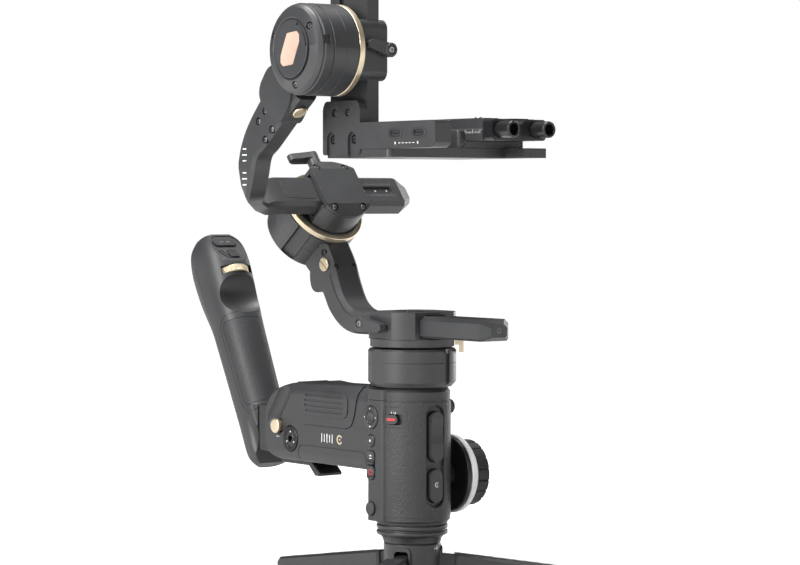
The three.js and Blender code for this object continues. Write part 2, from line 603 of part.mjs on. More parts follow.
function addRollAxis() {
  const barrel = turned([
    [0, -46], [28.5, -46], [MOTOR_RADIUS, -42], [MOTOR_RADIUS, -10.8], [31.6, -10.2], [0, -10.2],
  ], 36);
  const cableNotch = box([-36, -6, -40], [-30.6, 6, -9]).rotateZ(THREE.MathUtils.degToRad(38));
  add("roll_motor_housing", rollPlace(cut(barrel, cableNotch)), DARK_METAL);
  add("roll_ring", rollPlace(chamferedDisc(MOTOR_RADIUS, -9.9, -5.4, 0.5, 36)), CHAMPAGNE);

  const channel = box([-60, -ROLL_BAR_HALF_HEIGHT - GAP, ROLL_BAR_BACK - GAP],
    [60, ROLL_BAR_HALF_HEIGHT + GAP, ROLL_BAR_FRONT + GAP]);
  const drum = common(prism("z", -5.1, ROLL_BAR_FRONT, disc(0, 0, 27.5), { segments: 24 }),
    box([-21.5, -40, -10], [21.5, 40, 40]));
  add("roll_clamp_body", rollPlace(cut(drum, channel)), DARK_METAL);
  const facets = prism("x", -20.5, 20.5, polygon([
    [-27, ROLL_BAR_FRONT + GAP], [-27, 16.4], [-17, 20.4], [17, 20.4], [27, 16.4],
    [27, ROLL_BAR_FRONT + GAP],
  ]));
  const roundEnds = prism("z", 10, 25, disc(0, 0, 27.5), { segments: 24 });
  add("roll_clamp_cover", rollPlace(common(facets, roundEnds)), DARK_METAL);
  const lever = clampLever(22, THREE.MathUtils.degToRad(172), 6).rotateX(-Math.PI / 2);
  add("roll_clamp_lever", rollPlace(lever.translate(-3, 27.8, 7)), DARK_METAL);
}

function addRollArm() {
  const [c, s] = [Math.cos(ROLL_PITCH), Math.sin(ROLL_PITCH)];
  // A station of the bar at X, on the roll axis' own plane.
  const middle = (ROLL_BAR_BACK + ROLL_BAR_FRONT) / 2;
  const half = (ROLL_BAR_FRONT - ROLL_BAR_BACK) / 2;
  const centre = [ROLL_CENTRE[1] - middle * s, ROLL_CENTRE[2] + middle * c];
  const barStation = (x, shrink) => [
    [x, ...centre],
    [0, c * (ROLL_BAR_HALF_HEIGHT - shrink), s * (ROLL_BAR_HALF_HEIGHT - shrink)],
    [0, -s * (half - shrink), c * (half - shrink)],
  ];
  const arm = sweptBar([
    barStation(ROLL_BAR_END, 3),
    barStation(ROLL_BAR_END - 5, 0),
    barStation(-52, 0),
    [[-70, 97, 285.4], [-3, 9, 9.8], [2.6, -5.4, 5]],
    [[-87, 89, 284.5], [-5.4, 8.6, 8.8], [6, -4.4, 3.6]],
    [[-97.5, 77.5, 287], [-2.4, 9.6, 6.6], [8.4, -1.6, 1.4]],
    [[-102, 66, 292], [-0.8, 10.2, 4.6], [8.8, -0.4, 0]],
    [[-103, 59, 303], [0, 10.6, 1], [9, 0, 0]],
    [[-103, 54, 319], [0, 10, 4.4], [9, 0, 0]],
    [[-103, 43, 332], [0, 10, 9.6], [9, 0, 0]],
    [[-103, 20, 353], [0, 10.2, 12.4], [9, 0, 0]],
    [[-103, 0, 369], [0, 10.6, 13.4], [9, 0, 0]],
  ], 2.4);
  const motor = alongX(chamferedDisc(TILT_RADIUS + GAP, -130, -60, 0.1, 36))
    .translate(0, TILT_Y, TILT_Z);
  const lobe = prism("x", -113.6, -95, polygon([
    [26, 379], [35.5, 367], [36, 358], [26, 347], [13, 339], [8.5, 340], [-3, 353], [-6, 372],
    [10, 385],
  ]), { bevel: 0.8 });
  // The outer corner is cut back along a facet, rounded towards the underside.
  const facet = prism("y", -200, 200, polygon([
    [-200, 330], [-200, 250], [-104, 250], [-104, 266], [-110, 271.5], [-117.5, 275.5],
    [-122, 282], [-126.5, 294], [-128.5, 307], [-128.5, 330],
  ])).rotateZ(THREE.MathUtils.degToRad(-37.5));
  add("roll_arm", cut(join(arm, lobe), motor, facet), DARK_METAL);
}

// ---------------------------------------------------------------- lock discs on the arms
function addLockDiscs() {
  const left = slottedDisc(5.4, 1.8).applyMatrix4(FACING_LEFT);
  add("roll_lock_disc", left.translate(-PAN_BAR_HALF_WIDTH - GAP, 92, 234), CHAMPAGNE);
  const under = slottedDisc(5.4, 1.8).rotateX(THREE.MathUtils.degToRad(143.6));
  add("tilt_lock_disc", under.translate(-103, 0.1, 347.3), CHAMPAGNE);
}

// ---------------------------------------------------------------- tilt axis
function addTiltAxis() {
  const place = (geometry) => alongX(geometry).translate(0, TILT_Y, TILT_Z);
  const barrel = turned([
    [0, -118], [32, -118], [TILT_RADIUS, -117], [TILT_RADIUS, -88.4], [32.2, -87.6], [0, -87.6],
  ], 36);
  add("tilt_motor_housing", place(barrel), DARK_METAL);
  add("tilt_motor_cap", place(turned([
    [0, -125.4], [20.6, -125.4], [21, -124.8], [22, -124.8], [29.6, -122.4], [32, -119.4],
    [32, -118.3], [0, -118.3],
  ], 36)), DARK_METAL);
  add("tilt_ring", place(chamferedDisc(TILT_RADIUS, -87.3, -82.6, 0.5, 36)), CHAMPAGNE);

  const block = prism("x", -82.3, -58, roundedRect(-46, TILT_Z - 22, 6, TILT_Z + 22, 6),
    { bevel: 0.8, segments: 2 });
  const channel = box([RAIL_BACK_X - GAP, -42 - GAP, 300], [RAIL_FRONT_X + GAP, 3 + GAP, 500]);
  add("tilt_clamp", cut(block, channel), DARK_METAL);
  const lever = clampLever(20.5, THREE.MathUtils.degToRad(164));
  add("tilt_clamp_lever", facingFront(lever).translate(-60, -46.3, TILT_Z), DARK_METAL);
}

// ---------------------------------------------------------------- camera bracket and tray
function addCameraBracket() {
  const rail = prism("x", RAIL_BACK_X, RAIL_FRONT_X, roundedRect(-42, 322, 3, RAIL_TOP, 2),
    { bevel: 0.8, segments: 1 });
  const groove = box([RAIL_BACK_X - 1, -14, 360], [RAIL_BACK_X + 3, -8, 446]);
  const knee = prism("x", -80, RAIL_FRONT_X, roundedRect(-42, 316, 3, 355, 3),
    { bevel: 0.8, segments: 1 });
  const beam = prism("x", -80, -66, roundedRect(-129, 320, -38, 339, 2), { bevel: 0.8, segments: 1 });
  const plate = prism("z", PLATE_BOTTOM, PLATE_TOP, roundedRect(-79, -75, 45, 1, 4),
    { bevel: 0.8, segments: 1 });
  const lip = box([26, -101, PLATE_BOTTOM], [45, -70, PLATE_TOP]);
  add("camera_bracket", cut(join(rail, knee, beam, plate, lip), groove), DARK_METAL);

  const tray = prism("z", PLATE_TOP + GAP, 333, roundedRect(-16, -75, 46, -8, 2),
    { bevel: 0.8, segments: 1 });
  const bed = box([-10 - GAP, -140, 326], [40 + GAP, 20, 340]);
  add("slide_base", cut(tray, bed), DARK_METAL);
  const rodBores = (from, to) => ROD_X.map((x) =>
    prism("y", from, to, disc(x, ROD_Z, ROD_RADIUS + GAP), { segments: 12 }));
  const plateTop = prism("z", 326.3, CAMERA_FACE_Z, roundedRect(-10, -95, 40, -10, 2),
    { bevel: 0.6, segments: 1 });
  add("quick_release_plate", cut(plateTop, ...rodBores(-110, -38)), DARK_METAL);
  const block = prism("y", -106, -95.3, roundedRect(-10, 326.3, 40, 341.4, 3),
    { bevel: 0.6, segments: 2 });
  add("rod_clamp", cut(block, ...rodBores(-110, -90)), BLACK_PLASTIC);
  ROD_X.forEach((x, i) => {
    const rod = turned([
      [0, 40], [ROD_RADIUS, 40], [ROD_RADIUS, 120.2], [5.2, 121], [4.4, 121], [4.4, 119.6], [0, 119.6],
    ], 24);
    add(`support_rod_${i + 1}`, facingFront(rod).translate(x, 0, ROD_Z), BLACK_PLASTIC);
  });
}

function addSlingMount() {
  add("sling_mount", prism("z", 84, 121, roundedRect(-15, 156.8, 15, 181.7, 3),
    { bevel: 0.6, segments: 2 }), BLACK_PLASTIC);
}

addTripod();
addHandle();
addFocusWheel();
addBatteryArm();
addSlingMount();
addSlingGrip();
addPanAxis();
addPanArm();
addRollAxis();
addRollArm();
addLockDiscs();
addTiltAxis();
addCameraBracket();

export default group;
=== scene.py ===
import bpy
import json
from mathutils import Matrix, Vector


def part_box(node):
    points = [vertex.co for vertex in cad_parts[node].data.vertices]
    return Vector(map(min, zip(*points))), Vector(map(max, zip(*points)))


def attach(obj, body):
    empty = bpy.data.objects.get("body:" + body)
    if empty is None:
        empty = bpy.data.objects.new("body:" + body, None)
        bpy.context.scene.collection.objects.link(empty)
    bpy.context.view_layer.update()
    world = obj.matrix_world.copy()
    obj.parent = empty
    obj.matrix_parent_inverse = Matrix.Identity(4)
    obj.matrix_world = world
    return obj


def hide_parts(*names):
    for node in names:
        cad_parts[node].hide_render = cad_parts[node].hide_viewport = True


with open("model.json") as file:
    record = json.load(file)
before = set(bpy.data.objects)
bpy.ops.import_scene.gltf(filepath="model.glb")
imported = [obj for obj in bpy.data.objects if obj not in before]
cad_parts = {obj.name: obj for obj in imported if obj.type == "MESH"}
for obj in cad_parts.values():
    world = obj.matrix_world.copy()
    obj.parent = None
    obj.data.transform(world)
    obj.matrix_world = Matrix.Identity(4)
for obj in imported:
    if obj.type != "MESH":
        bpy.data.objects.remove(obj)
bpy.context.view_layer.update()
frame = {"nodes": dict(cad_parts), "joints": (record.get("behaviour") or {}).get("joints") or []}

# Looks of a three-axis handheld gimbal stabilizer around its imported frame. Shapes are drawn in
# millimetres in the part's own frame: +Z up, the lens looks along -Y, the tilt motor is on -X.
import json
import math

import bmesh
import bpy
from mathutils import Matrix, Vector

MM = 0.001
TAU = 2 * math.pi
FINE = 96  # steps round a large circle

JOINTS = {joint["name"]: joint for joint in frame["joints"]}


# ---------- reading the frame, in millimetres
def pivot(name):
    return Vector(JOINTS[name]["pos_m"]) / MM


def low(node):
    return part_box(node)[0] / MM


def high(node):
    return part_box(node)[1] / MM


# ---------- materials
def add_node(tree, kind, **values):
    """A shader node with its inputs set; an input's name has _ for each space."""
    node = tree.nodes.new(f"ShaderNode{kind}")
    for name, value in values.items():
        node.inputs[name.replace("_", " ")].default_value = value
    return node


def make_material(name, color, roughness, metallic=0.0, grain=900.0, depth=0.04, mottle=0.08,
        cells=False, stretch=(1, 1, 1), specular=0.5):
    """A procedural finish: fine grain in the bump, slow mottling in the colour and roughness."""
    material = bpy.data.materials.new(name)
    material.use_nodes = True
    tree = material.node_tree
    link = tree.links.new
    shader = tree.nodes["Principled BSDF"]
    shader.inputs["Metallic"].default_value = metallic
    shader.inputs["Specular IOR Level"].default_value = specular
    where = add_node(tree, "TexCoord")
    mapping = add_node(tree, "Mapping", Scale=stretch)
    link(where.outputs["Object"], mapping.inputs["Vector"])

    cloud = add_node(tree, "TexNoise", Scale=38.0, Detail=4.0)
    link(where.outputs["Object"], cloud.inputs["Vector"])
    rough = add_node(tree, "MapRange", From_Min=0.3, From_Max=0.7, To_Min=roughness * (1 - mottle),
        To_Max=roughness * (1 + mottle))
    link(cloud.outputs["Fac"], rough.inputs["Value"])
    link(rough.outputs["Result"], shader.inputs["Roughness"])

    shade = add_node(tree, "ValToRGB")
    for stop, position, gain in zip(shade.color_ramp.elements, (0.35, 0.65), (-mottle, mottle)):
        stop.position = position
        stop.color = (*[c * (1 + gain) for c in color], 1)
    link(cloud.outputs["Fac"], shade.inputs["Fac"])
    link(shade.outputs["Color"], shader.inputs["Base Color"])

    if cells:
        speck = add_node(tree, "TexVoronoi", Scale=grain)
        speck.feature = "SMOOTH_F1"
    else:
        speck = add_node(tree, "TexNoise", Scale=grain, Detail=3.0)
    link(mapping.outputs["Vector"], speck.inputs["Vector"])
    bump = add_node(tree, "Bump", Strength=1.0, Distance=depth * MM)
    bump.invert = cells
    link(speck.outputs["Distance" if cells else "Fac"], bump.inputs["Height"])
    link(bump.outputs["Normal"], shader.inputs["Normal"])
    return material


CHARCOAL = (0.030, 0.0305, 0.032)
METAL = make_material("satin_metal", CHARCOAL, 0.40, grain=2600, depth=0.010, specular=0.55)
PLASTIC = make_material("moulded_plastic", (0.028, 0.0285, 0.030), 0.48, grain=2100, depth=0.016)
BUTTON = make_material("button_plastic", (0.024, 0.0245, 0.026), 0.38, grain=2400, depth=0.008)
BLACK = make_material("black_plastic", (0.009, 0.009, 0.010), 0.34, grain=2000, depth=0.008)
# Near-black and dull: painted shade, laid in wells, gaps and slots where shade falls.
PAINTED_SHADE = make_material("painted_recess_shade", (0.002, 0.002, 0.002), 0.8, grain=1500, depth=0.01, specular=0.1)
LEATHER = make_material("grained_leather", (0.027, 0.0275, 0.029), 0.5, grain=620, depth=0.34,
    mottle=0.12, cells=True)
SLEEVE = make_material("textured_rubber", (0.021, 0.0215, 0.023), 0.55, grain=900,
    depth=0.2, cells=True)
RUBBER = make_material("rubber", (0.015, 0.015, 0.016), 0.62, grain=1700, depth=0.03)
GOLD = make_material("champagne_metal", (0.66, 0.56, 0.40), 0.32, metallic=0.8, grain=700, depth=0.006,
    stretch=(1, 1, 8))
INLAY = make_material("champagne_inlay", (0.52, 0.37, 0.29), 0.42, metallic=0.25, grain=900,
    depth=0.012, stretch=(1, 0.15, 1))
STEEL = make_material("bright_steel", (0.36, 0.36, 0.37), 0.3, metallic=1.0, grain=1800, depth=0.006)
DARK_STEEL = make_material("dark_steel", (0.13, 0.13, 0.135), 0.32, metallic=0.9,
    grain=1800, depth=0.006)
PAINT = make_material("white_print", (0.62, 0.62, 0.61), 0.5, grain=1400, depth=0.004)
GREY_PAINT = make_material("grey_print", (0.13, 0.13, 0.135), 0.5, grain=1400, depth=0.004)
RED = make_material("red_print", (0.62, 0.03, 0.04), 0.38, grain=1500, depth=0.004)
WHITE = make_material("white_scale_plastic", (0.72, 0.72, 0.71), 0.35, grain=1500, depth=0.006)
CELLS = make_material("cell_wrap", (0.03, 0.10, 0.22), 0.35, grain=1000, depth=0.01)


# ---------- placing
def on_face(origin, normal, up=(0, 0, 1)):
    """Seen from outside a face, local X points right, local Y up and local Z out of it."""
    z = Vector(normal).normalized()
    x = Vector(up).cross(z).normalized()
    placed = Matrix((x, z.cross(x), z)).transposed().to_4x4()
    placed.translation = Vector(origin)
    return placed


def on_left(x, y, z):
    """A place on a face that looks along -X."""
    return on_face((x, y, z), (-1, 0, 0))


def turn(degrees, axis):
    return Matrix.Rotation(math.radians(degrees), 4, axis)


def shift(x, y, z):
    return Matrix.Translation((x, y, z))


def along_x(y, z):
    """Local +Z runs along +X, through a Y and Z."""
    return shift(0, y, z) @ turn(90, "Y")


# ---------- outlines, as lists of points
def arc(a, b, radius, start, end, steps=8):
    angles = [math.radians(start + (end - start) * i / steps) for i in range(steps + 1)]
    return [(a + radius * math.cos(t), b + radius * math.sin(t)) for t in angles]


def circle(a, b, radius, steps=FINE):
    return arc(a, b, radius, 0, 360, steps)[:-1]


def band(a, b, outer, inner, start, end, steps):
    """A part of a flat ring."""
    return [*arc(a, b, outer, start, end, steps), *reversed(arc(a, b, inner, start, end, steps))]


def rounded(a0, b0, a1, b1, radius, steps=8):
    return (arc(a1 - radius, b0 + radius, radius, -90, 0, steps)
        + arc(a1 - radius, b1 - radius, radius, 0, 90, steps)
        + arc(a0 + radius, b1 - radius, radius, 90, 180, steps)
        + arc(a0 + radius, b0 + radius, radius, 180, 270, steps))


def pill(a, b, width, height, steps=16):
    radius = min(width, height) / 2 - 0.001
    return rounded(a - width / 2, b - height / 2, a + width / 2, b + height / 2, radius, steps)


def curve(points, steps=10):
    """A smooth open curve through the points."""
    out = []
    padded = [points[0], *points, points[-1]]
    for i in range(1, len(padded) - 2):
        p = [Vector(q) for q in padded[i - 1:i + 3]]
        for k in range(steps):
            t = k / steps
            out.append(tuple(0.5 * (2 * p[1] + (p[2] - p[0]) * t
                + (2 * p[0] - 5 * p[1] + 4 * p[2] - p[3]) * t * t
                + (3 * p[1] - p[0] - 3 * p[2] + p[3]) * t ** 3)))
    return [*out, tuple(points[-1])]


def corner_rounded(points, radius, steps=5):
    """A closed outline with each corner cut by a small arc-like curve."""
    out = []
    count = len(points)
    for i in range(count):
        before, at, after = (Vector(points[(i + k) % count]) for k in (-1, 0, 1))
        reach_in = min(radius, (before - at).length * 0.45)
        reach_out = min(radius, (after - at).length * 0.45)
        start = at + (before - at).normalized() * reach_in
        end = at + (after - at).normalized() * reach_out
        for k in range(steps + 1):
            t = k / steps
            out.append(tuple(start * (1 - t) ** 2 + at * 2 * t * (1 - t) + end * t * t))
    return out


# ---------- solids
def solid(verts, faces, place=Matrix()):
    mesh = bpy.data.meshes.new("solid")
    mesh.from_pydata([(place @ Vector(v)) * MM for v in verts], [], faces)
    made = bmesh.new()
    made.from_mesh(mesh)
    bmesh.ops.remove_doubles(made, verts=made.verts, dist=1e-7)
    bmesh.ops.recalc_face_normals(made, faces=made.faces)
    made.to_mesh(mesh)
    made.free()
    made = bpy.data.objects.new("solid", mesh)
    bpy.context.scene.collection.objects.link(made)
    return made


def loft(rings, place=Matrix()):
    count = len(rings[0])
    faces = [list(range(count)), list(range((len(rings) - 1) * count, len(rings) * count))]
    for r in range(len(rings) - 1):
        for i in range(count):
            a, b = r * count + i, r * count + (i + 1) % count
            faces.append((a, b, b + count, a + count))
    return solid([p for ring in rings for p in ring], faces, place)


def lathe(profile, place=Matrix(), segments=FINE, radius_at=lambda r, z, angle: r):
    """A body of revolution about +Z from [radius, height] pairs that start and end on the axis."""
    verts = []
    faces = []
    for r, z in profile:
        for i in range(segments):
            angle = TAU * i / segments
            reach = radius_at(r, z, angle)
            verts.append((reach * math.cos(angle), reach * math.sin(angle), z))
    for k in range(len(profile) - 1):
        for i in range(segments):
            a, b = k * segments + i, k * segments + (i + 1) % segments
            faces.append((a, b, b + segments, a + segments))
    return solid(verts, faces, place)


def disc(radius, start, end, place=Matrix(), chamfer=0.0, segments=FINE):
    if not chamfer:
        return lathe([(0, start), (radius, start), (radius, end), (0, end)], place, segments)
    return lathe([(0, start), (radius - chamfer, start), (radius, start + chamfer),
        (radius, end - chamfer), (radius - chamfer, end), (0, end)], place, segments)


SPREAD = {"x": lambda a, b, depth: (depth, a, b), "y": lambda a, b, depth: (a, depth, b),
    "z": lambda a, b, depth: (a, b, depth),}


def prism(axis, start, end, outline, place=Matrix()):
    return loft([[SPREAD[axis](a, b, depth) for a, b in outline] for depth in (start, end)], place)


def block(lo, hi, place=Matrix()):
    outline = [(lo[0], lo[1]), (hi[0], lo[1]), (hi[0], hi[1]), (lo[0], hi[1])]
    return prism("z", lo[2], hi[2], outline, place)


def combine(base, tools, operation):
    for tool in tools:
        modifier = base.modifiers.new("combine", "BOOLEAN")
        modifier.operation = operation
        modifier.solver = "MANIFOLD"
        modifier.object = tool
    graph = bpy.context.evaluated_depsgraph_get()
    mesh = bpy.data.meshes.new_from_object(base.evaluated_get(graph))
    base.modifiers.clear()
    base.data = mesh
    for tool in tools:
        bpy.data.objects.remove(tool)
    return base


def cut(base, *tools):
    return combine(base, tools, "DIFFERENCE")


def join(base, *tools):
    return combine(base, tools, "UNION")


def common(base, *tools):
    return combine(base, tools, "INTERSECT")


def group(parts):
    """Separate solids as one object."""
    made = bmesh.new()
    for part in parts:
        made.from_mesh(part.data)
    mesh = bpy.data.meshes.new("group")
    made.to_mesh(mesh)
    made.free()
    for part in parts:
        bpy.data.objects.remove(part)
    made = bpy.data.objects.new("group", mesh)
    bpy.context.scene.collection.objects.link(made)
    return made


# ---------- dressing a piece
def soften(obj, width, segments=2, angle=28):
    """Rounds the hard edges and keeps the flat faces flat."""
    if width:
        bevel = obj.modifiers.new("edges", "BEVEL")
        bevel.width = width * MM
        bevel.segments = segments
        bevel.limit_method = "ANGLE"
        bevel.angle_limit = math.radians(angle)
        bevel.use_clamp_overlap = True
        bevel.miter_outer = "MITER_ARC"
    normals = obj.modifiers.new("normals", "WEIGHTED_NORMAL")
    normals.weight = 60
    normals.keep_sharp = True


def dress(obj, name, body, material, *nodes, edge=0.4, segments=2, angle=28):
    """Names a solid, rounds its edges, gives it its finish and puts it on its body."""
    made = bmesh.new()
    made.from_mesh(obj.data)
    bmesh.ops.remove_doubles(made, verts=made.verts, dist=1e-7)
    bmesh.ops.dissolve_limit(made, angle_limit=math.radians(0.6), verts=made.verts, edges=made.edges,
        delimit={"NORMAL"})
    for face in made.faces:
        face.smooth = True
    made.to_mesh(obj.data)
    made.free()
    if not edge:
        obj.data.set_sharp_from_angle(angle=math.radians(angle))
    obj.name = name
    obj.data.name = name
    obj.data.materials.clear()
    obj.data.materials.append(material)
    soften(obj, edge, segments, angle)
    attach(obj, body)
    if nodes:
        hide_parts(*nodes)
    return obj


def dress_key(obj, name, node, edge, segments=2):
    """A button that is alone on the body of its own name."""
    return dress(obj, name, node, BUTTON, node, edge=edge, segments=segments)


def scale_marks(start, pitch, count, width, base, tall, short):
    """Outlines of the ticks along a scale, each fifth one taller."""
    marks = []
    for k in range(count):
        a, end = start + pitch * k, base + (short if k % 5 else tall)
        marks.append([(a, base), (a + width, base), (a + width, end), (a, end)])
    return marks


def print_on(name, body, material, place, outlines, proud=0.07):
    """Flat marks that lie on a face, each outline in the face's own plane."""
    marks = [prism("z", -0.25, proud, outline, place) for outline in outlines]
    return dress(group(marks), name, body, material, edge=0)


def socket_radius(angle, across):
    """The reach of a hexagonal socket in a direction."""
    sector = (angle + TAU / 12) % (TAU / 6) - TAU / 12
    return across / math.cos(sector)


def screw_head(radius, place):
    rings = [(radius, -0.5 * radius, 0), (radius, -0.14 * radius, 0), (0.86 * radius, 0, 0),
        (0.6 * radius, 0, 0), (0.5 * radius, -0.02 * radius, 1), (0.5 * radius, -0.45 * radius, 1)]
    steps = 24
    shape = []
    for reach, z, hexagonal in rings:
        ring = []
        for i in range(steps):
            angle = TAU * i / steps
            r = socket_radius(angle, reach) if hexagonal else reach
            ring.append((r * math.cos(angle), r * math.sin(angle), z))
        shape.append(ring)
    return loft(shape, place)


def counterbores(spots, radius):
    return group([disc(1.5 * radius, -1.1 * radius, 1.0, place, segments=32) for place in spots])


def screws(name, body, spots, radius, material=DARK_STEEL, sunk=0.35):
    """Hexagon socket screws, each over a near-black disc of painted shade in its counterbore."""
    # A near-black disc in each counterbore, round the head: painted shade.
    wells = [disc(1.46 * radius, -1.2 * radius, -0.75 * radius, place, segments=32) for place in spots]
    dress(group(wells), f"{name}_well_shade", body, PAINTED_SHADE, edge=0)
    heads = [screw_head(radius, place @ shift(0, 0, -sunk)) for place in spots]
    return dress(group(heads), name, body, material, edge=0)


def keep(node, material, edge=0.35, segments=2):
    """A CAD node that stays, with its finish and its hard edges rounded."""
    obj = frame["nodes"][node]
    obj.data.materials.clear()
    obj.data.materials.append(material)
    for polygon in obj.data.polygons:
        polygon.use_smooth = True
        polygon.material_index = 0
    flat = obj.modifiers.new("flat", "DECIMATE")
    flat.decimate_type = "DISSOLVE"
    flat.angle_limit = math.radians(1.0)
    soften(obj, edge, segments, 24)


# ---------- mini tripod
def tripod_hub():
    hub_top = high("tripod_hub").z
    radius = high("tripod_hub").x
    slots = []
    frames = []
    for i in range(3):
        spin = turn(120 * i, "Z")
        slots.append(prism("y", 8.4, radius + 6, rounded(-5.4, -6, 5.4, 22.5, 2.4), spin))
        face = spin @ on_face((0, radius - 0.6, 12), (0, 1, 0))
        rim = prism("z", -1.0, 1.3, rounded(-7.4, -9, 7.4, 13.2, 3.6), face)
        frames.append(cut(rim, prism("z", -3, 3, rounded(-5.7, -20, 5.7, 10.8, 2.6), face)))
    hub = cut(lathe([(0, 0), (radius - 1.4, 0), (radius, 1.4), (radius, hub_top - 0.8),
        (radius - 0.8, hub_top), (0, hub_top)]), *slots)
    dress(hub, "tripod_hub_casting", "handle", METAL, "tripod_hub", edge=0.5)
    dress(group(frames), "tripod_hub_window_rims", "handle", METAL, edge=0.35)


def tripod_collar():
    radius = high("tripod_hub").x
    base = low("tripod_collar").z
    top = high("tripod_collar").z
    wide = high("tripod_collar").x
    profile = [(0, base), (radius, base), (radius + 0.7, base + 2.7), (radius + 2.2, base + 4.9),
        (wide - 0.7, base + 6.1), (wide, base + 6.8), (wide, base + 8.4), (wide - 0.5, base + 9),
        (wide - 1.5, base + 9.3), (wide - 1.5, base + 10.2), (wide - 0.4, base + 10.6),
        (wide, base + 11.1), (wide, base + 12.9), (wide - 0.7, top), (0, top)]
    dress(lathe(profile), "tripod_collar_ring", "collar", METAL, "tripod_collar", edge=0.25)


def tripod_legs():
    for i in range(3):
        keep(f"tripod_leg_{i + 1}", METAL, 0.9, 3)
        keep(f"tripod_foot_{i + 1}", RUBBER, 0.6)
        spin = turn(120 * i, "Z")
        pin = disc(3.1, -7.2, 7.2, spin @ shift(0, 17, 13) @ turn(90, "Y"), 0.5, 32)
        dress(pin, f"leg_pin_{i + 1}", "handle", DARK_STEEL, edge=0.2)
        ribs = [block((-5.2, 40 + 9 * k, -0.6), (5.2, 44 + 9 * k, 0.35),
            spin @ shift(0, 17, 13) @ turn(-8.3, "X") @ shift(0, -8, 8.0)) for k in range(7)]
        dress(group(ribs), f"leg_ribs_{i + 1}", f"leg_{i + 1}", METAL, edge=0.3)


def collar_marks():
    """A closed and an open padlock for the locked and the free way of the collar."""
    radius = high("tripod_hub").x
    lock_z = 0.5 * (high("tripod_hub").z + 22)
    for name, angle, lean in (("locked", 22, 0.0), ("free", 52, 1.1)):
        spot = (radius * math.sin(math.radians(angle)), -radius * math.cos(math.radians(angle)))
        place = on_face((*spot, lock_z), (*spot, 0))
        shackle = band(lean, 0.4, 1.0, 0.6, 0, 180, 8)
        body = rounded(-1.25, -1.7, 1.25, 0.4, 0.4)
        arrow = [(-3.6, -0.6), (-2.6, 0.4), (-2.6, -1.6)]
        print_on(f"mark_{name}", "handle", PAINT, place, [shackle, body, arrow])


# ---------- handle
HANDLE_RADIUS = 28.5
RECESS_Z = 94
TRIGGER_Z, FUNCTION_Z = 108.5, 72
POWER_Z = 121.5
CONTROLS_Y = 10  # the left face's column of controls
NAV_Z, PHOTO_Z, ROCKER_Z, RECORD_Z, MODE_Z = 122, 104.6, 92, 81, 54
PORT_AT = (122.5, 98)  # Y and Z on the battery arm's left
RELEASE_AT = (138, 107)


def switch_frame(z):
    """On the handle's left front, where the power switch is."""
    slide = Vector(JOINTS["power_slide"]["axis"])
    outwards = Vector((slide.y, -slide.x, 0))
    return on_face(outwards * HANDLE_RADIUS + Vector((0, 0, z)), outwards)


def handle_body():
    radius = high("handle_body").x
    bottom = low("handle_body").z
    top = high("handle_body").z
    face_x = low("handle_body").x
    body = lathe([(0, bottom), (radius - 2.4, bottom), (radius - 1.9, bottom + 1.0),
        (radius - 1.9, bottom + 1.6), (radius, bottom + 3.4), (radius, top - 3), (radius - 2.4, top),
        (0, top)], segments=128)
    controls = prism("z", 45, 143, rounded(face_x, -5, 0, 16.7, 4.5, 6))
    join(body, controls)
    wells = [disc(9.0, -4.6, 5, on_left(face_x, CONTROLS_Y, NAV_Z)),
        disc(5.0, -4.6, 5, on_left(face_x, CONTROLS_Y, PHOTO_Z), segments=48),
        prism("x", face_x - 1, face_x + 5, rounded(5, 75.6, 15, 97.4, 3.2)),
        disc(5.6, -4.8, 5, on_left(face_x, CONTROLS_Y, MODE_Z), segments=48)]
    recess = prism("y", -40, -25.8, pill(0, RECESS_Z, 16, 76))
    trigger_well = prism("y", -27, -17.5, pill(0, TRIGGER_Z, 12.2, 38.2))
    function_well = prism("y", -27, -19, pill(0, FUNCTION_Z, 12.2, 25.8))
    seam = block((5.6, -40, bottom - 1), (6.0, -26.2, 50))
    ring_seam = cut(disc(40, 134.9, 135.25), disc(radius - 0.35, 130, 140))
    switch = switch_frame(POWER_Z)
    switch_well = prism("z", -3.2, 5, pill(0, 0, 15, 8), switch)
    window = cut(prism("z", -0.35, 5, rounded(-9.3, -6.3, 9.3, 9.3, 3.2), switch),
        prism("z", -2, 6, rounded(-8.8, -5.8, 8.8, 8.8, 2.8), switch))
    behind = block((-40, 16.7, 80.2), (40, 40, top + 1))
    jog = disc(6.0, -4.4, 8, on_face((29, -6, 128.5), (1, 0, 0)), segments=48)
    cut(body, behind, recess)
    cut(body, trigger_well, function_well, seam, switch_well, window, jog, *wells)
    cut(body, ring_seam)
    dress(body, "handle_shell", "handle", PLASTIC, "handle_body", edge=0.45, segments=3)


def bent(flat, radius):
    """Bends a solid drawn flat (X along the arc, Y up, Z outwards) round the handle's axis."""
    made = bmesh.new()
    made.from_mesh(flat.data)
    step = 1.4
    reach = int(46 / step)
    for k in range(-reach, reach + 1):
        bmesh.ops.bisect_plane(made, geom=made.verts[:] + made.edges[:] + made.faces[:],
            plane_co=(k * step * MM, 0, 0), plane_no=(1, 0, 0))
    for vert in made.verts:
        along, height, out = vert.co / MM
        angle = along / radius
        reach_out = radius + out
        vert.co = Vector((reach_out * math.sin(angle), -reach_out * math.cos(angle), height)) * MM
    made.to_mesh(flat.data)
    made.free()
    return flat


